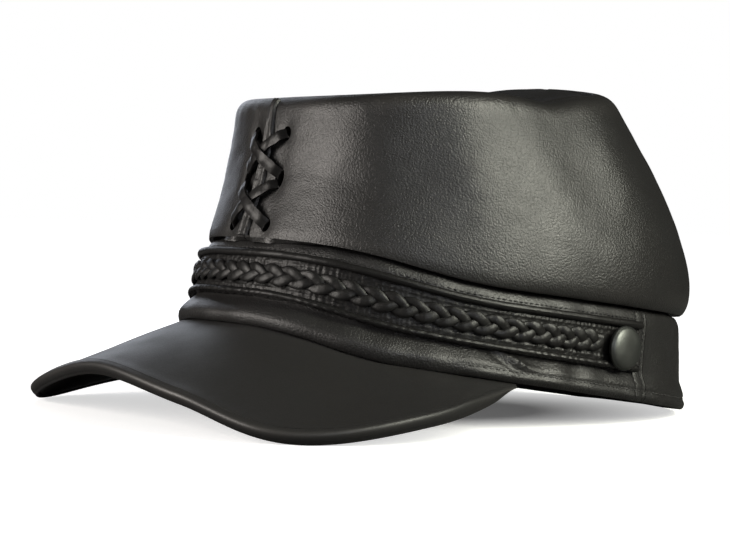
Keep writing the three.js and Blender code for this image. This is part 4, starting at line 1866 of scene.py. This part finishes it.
@dataclass
class Peak:
    """Drooping peak: a smooth upper leather, a facing below it and a rolled edge round both."""

    bench: Bench
    form: HatForm
    finishes: Finishes
    leather: float = 2.2 * MM
    facing: float = 1.5 * MM
    edge_width: float = 3.4 * MM
    edge_ridge: float = 0.35 * MM
    ridge_reach: float = 2.4 * MM
    fold_height: float = 0.2 * MM
    fold_length: float = 30.0 * MM
    half_arc: float = 90.0 * MM
    mean_depth: float = 50.0 * MM
    flat_lip: float = 4.0 * MM
    wear_run: float = 300.0 * MM
    wear_size: float = 25.0 * MM
    undercut: float = 0.75
    seam_turn: float = math.radians(325)
    tip_start: float = 0.88
    tip_skiving: float = 0.5
    flange: float = 7.2 * MM
    end_share: float = 0.965
    columns: int = 300

    def thinning(self, along: Points) -> Points:
        """Share of the full thickness that is left towards the peak's two tips."""
        tip = smooth_step(self.tip_start, self.end_share, np.abs(along))
        return self.form.peak_taper(along) * (1 - self.tip_skiving * tip)

    def face(self, along: Points, out: Points, depth: Points) -> Points:
        """Points below the upper face of the peak."""
        down = normals_of(self.form.peak, along, np.maximum(out, 0.05))
        return self.form.peak(along, out) + down * (depth * self.thinning(along))[..., None]

    def make_layer(
        self,
        name: str,
        top: float,
        wall: float,
        finish: bpy.types.Material,
        node: str,
    ) -> bpy.types.Object:
        """One leather layer of the peak.

        Args:
            name: name of the new piece.
            top: depth of its face under the peak's upper face in metres.
            wall: its thickness in metres.
            finish: its finish.
            node: name of the node that the piece replaces.

        Returns:
            The layer.
        """
        piece = self.bench.sheet(name, self.columns, 64)
        form = self.form

        def pattern(across: Points, along: Points, _: Points) -> Points:
            """Places on the hat for flat places."""
            place = (across * 2 - 1) * self.end_share
            reach = form.peak_reach(place)
            inner = -self.flange / reach
            outer = 1 - self.edge_width / reach
            out = inner + (outer - inner) * along
            spot = (place * self.half_arc, out * self.mean_depth)
            soft = self.fold_height * uneven(*spot, self.fold_length, Seed.PEAK_FOLDS)
            lip = (1 - out) * reach - self.edge_width
            ridge = self.edge_ridge * groove(lip, self.ridge_reach) if top == 0 else 0
            return self.face(place, out, top - soft * (1 - groove(lip, self.flat_lip)) - ridge)

        flat = np.array([vertex.co.x for vertex in piece.data.vertices])
        thin = self.thinning((flat * 2 - 1) * self.end_share)
        self.bench.mould(piece, pattern)
        self.bench.dress(piece, finish)
        self.bench.thicken(piece, wall, 1.0, thin)
        self.bench.weld(piece)
        self.bench.smooth(piece)
        return self.bench.finish(piece, "peak_leather", node)

    def make_edge(self) -> bpy.types.Object:
        """Rolled leather edge round the peak, with a shallow seam along its side.

        Returns:
            The rolled edge.
        """
        piece = self.bench.sheet("peak_rolled_edge", 360, 36)
        form = self.form

        def pattern(across: Points, along: Points, _: Points) -> Points:
            """Places on the hat for flat places."""
            place = (across * 2 - 1) * self.end_share
            turn = along * math.tau
            rim = form.peak_rim(place)
            out = outwards(place * form.peak_half_angle * form.peak_turn)
            height = form.peak_edge_height * self.thinning(place)
            square = np.where(np.cos(turn) < 0, 0.1, 0.85)
            level = np.sign(np.cos(turn)) * np.abs(np.cos(turn)) ** square
            upright = np.sign(np.sin(turn)) * np.abs(np.sin(turn)) ** square
            seam = 1 - 0.16 * groove(turn - self.seam_turn, 0.1)
            inward = (1 - level * seam) / 2
            inward = inward + self.undercut * (1 - inward) * ((1 - upright) / 2) ** 1.3
            surface = form.peak(place, 1 - inward * self.edge_width / form.peak_reach(place))
            ridge = self.edge_ridge * groove(inward - 0.85, 0.45) * np.maximum(upright, 0)
            point = rim - out * (inward * self.edge_width)[..., None]
            point[..., 2] = surface[..., 2] + ridge + height * (upright * seam - 1) / 2
            return point

        def wear(across: Points, along: Points, _: Points) -> Points:
            """How rubbed the finish is there."""
            run = across * self.wear_run
            patchy = 0.7 + 0.4 * uneven(run, along * 10 * MM, self.wear_size, Seed.EDGE_WEAR)
            return patchy * groove(along - 0.12, 0.09)

        self.bench.mould(piece, pattern, wear)
        self.bench.dress(piece, self.finishes.peak)
        self.bench.weld(piece, fill=True)
        self.bench.smooth(piece)
        return self.bench.finish(piece, "peak_leather", "peak_edge")

    def make(self) -> None:
        """Makes all pieces of the peak."""
        lower = self.leather + self.form.gap
        self.make_layer("peak_upper", 0.0, self.leather, self.finishes.peak, "peak")
        self.make_layer("peak_lining_face", lower, self.facing, self.finishes.band, "peak_facing")
        self.make_edge()


@dataclass(frozen=True)
class SoftBox:
    """Large soft light, aimed at the hat."""

    name: str
    azimuth: float
    elevation: float
    distance: float
    width: float
    height: float
    power: float
    colour: Colour


@dataclass
class Studio:
    """Plain pale floor, soft lights and the camera."""

    photo_width: int = 730
    sensor: float = 36.0
    focal_pixels: float = 2150.8
    camera_place: Place = (678.86 * MM, -495.41 * MM, 78.01 * MM)
    camera_target: Place = (0.0, -10.97 * MM, 54.61 * MM)
    camera_roll: float = math.radians(1.627)
    target: Place = (0.0, 0.0, 0.07)
    floor_size: float = 16.0
    # The floor's glow is dimmed near the hat's middle as a painted shadow, darkest out to the first of
    # these distances.
    painted_shadow_end: float = 0.035
    glow_start: float = 0.08
    glow_end: float = 0.45
    mottle_size: float = 0.4
    overhead_power: float = 0.06
    overhead_spread: float = math.radians(70)
    surround: float = 0.02
    boxes: tuple[SoftBox, ...] = (
        SoftBox("front_box", -15, 12, 0.95, 0.54, 0.6, 9.6, (1.0, 0.94, 0.88)),
        SoftBox("rear_box", 114, 27, 0.95, 0.32, 0.62, 11.5, (1.0, 1.0, 0.86)),
        SoftBox("side_box", 72, 14, 0.95, 0.3, 0.42, 1.5, (0.93, 0.94, 1.0)),
        SoftBox("far_box", -105, 18, 0.95, 0.4, 0.5, 1.4, (0.85, 0.9, 1.0)),
    )

    def make_floor(self) -> None:
        """Large floor that the camera sees white, with a painted shadow under the hat where its glow is
        dimmed.

        Other rays meet a dark floor, so that it doesn't light the hat from below.
        """
        Bench.clear()
        bpy.ops.mesh.primitive_plane_add(size=self.floor_size, location=(0, 0, 0))
        floor = bpy.context.object
        floor.name = "pale_floor"
        recipe = Recipe("pale_floor")
        place = recipe.place()
        mottle = recipe.noise(place, self.mottle_size, 3.0, 0.5)
        centred = recipe.node(
            "ShaderNodeMapping", None, {"Vector": place, "Location": (0, -0.02, 0), "Scale": (1, 0.8, 1)}
        )
        away = recipe.node("ShaderNodeVectorMath", {"operation": "LENGTH"}, {0: centred}, "Value")
        pale = {
            "Base Color": recipe.mix(mottle, (0.86, 0.86, 0.86), (0.9, 0.9, 0.9)),
            "Roughness": 0.75,
            "Specular IOR Level": 0.1,
            # Camera-only glow, dimmed towards the middle of the hat as a painted contact shadow under it.
            "Emission Color": recipe.ramp(
                away, ((self.painted_shadow_end, 0.1), (self.glow_start, 0.6), (self.glow_end, 1.0))
            ),
            "Emission Strength": 1.0,
        }
        shaded = {"Base Color": (0.12, 0.12, 0.12, 1.0), "Roughness": 0.9, "Specular IOR Level": 0.1}
        seen = recipe.node("ShaderNodeLightPath", output="Is Camera Ray")
        shaders = {0: seen, 1: recipe.principled(shaded), 2: recipe.principled(pale)}
        mixed = recipe.node("ShaderNodeMixShader", None, shaders)
        floor.data.materials.append(recipe.output(mixed))

    def make_lights(self) -> None:
        """Soft boxes, a broad light from above and a faint surround."""
        for box in self.boxes:
            Bench.clear()
            turn, rise = math.radians(box.azimuth), math.radians(box.elevation)
            level = math.cos(rise)
            away = Vector((math.sin(turn) * level, -math.cos(turn) * level, math.sin(rise)))
            bpy.ops.object.light_add(type="AREA", location=Vector(self.target) + away * box.distance)
            lamp = bpy.context.object
            lamp.name = box.name
            lamp.rotation_euler = away.to_track_quat("Z", "Y").to_euler()
            lamp.data.shape = "RECTANGLE"
            lamp.data.size = box.width
            lamp.data.size_y = box.height
            lamp.data.energy = box.power
            lamp.data.color = box.colour
        Bench.clear()
        bpy.ops.object.light_add(type="SUN", location=(0, 0, 2))
        overhead = bpy.context.object
        overhead.name = "overhead"
        overhead.data.energy = self.overhead_power
        overhead.data.angle = self.overhead_spread
        bpy.context.scene.view_settings.view_transform = "Standard"
        world = bpy.data.worlds.new("surround")
        bpy.context.scene.world = world
        world.use_nodes = True
        tree = world.node_tree
        background = tree.nodes["Background"]
        background.inputs["Color"].default_value = (1.0, 1.0, 1.0, 1.0)
        path = tree.nodes.new("ShaderNodeLightPath")
        strength = tree.nodes.new("ShaderNodeMapRange")
        strength.inputs["To Min"].default_value = self.surround
        strength.inputs["To Max"].default_value = 1.0
        tree.links.new(path.outputs["Is Camera Ray"], strength.inputs["Value"])
        tree.links.new(strength.outputs["Result"], background.inputs["Strength"])

    def make_camera(self) -> None:
        """Camera at the photograph's angle."""
        Bench.clear()
        bpy.ops.object.camera_add(location=self.camera_place)
        camera = bpy.context.object
        camera.name = "photo_camera"
        away = Vector(self.camera_place) - Vector(self.camera_target)
        facing = away.to_track_quat("Z", "Y").to_matrix().to_4x4()
        roll = Matrix.Rotation(self.camera_roll, 4, "Z")
        camera.rotation_euler = (facing @ roll).to_euler()
        camera.data.sensor_width = self.sensor
        camera.data.lens = self.focal_pixels * self.sensor / self.photo_width
        camera.data.clip_start = 0.01
        camera.data.clip_end = 100
        bpy.context.scene.camera = camera

    def make(self) -> None:
        """Sets up the studio."""
        self.make_floor()
        self.make_lights()
        self.make_camera()


def main() -> None:
    """Builds the studio and the hat's sub-assemblies in order."""
    logging.basicConfig(level=logging.INFO, format="%(name)s %(message)s")
    form = HatForm()
    bench = Bench(form)
    finishes = Finishes()
    Studio().make()
    Crown(bench, form, finishes).make()
    Band(bench, form, finishes).make()
    strap = Strap(bench, form, finishes)
    strap.make()
    for side in Side:
        Button(bench, form, finishes, strap).make(side)
    Peak(bench, form, finishes).make()


if __name__ == "__main__":
    main()
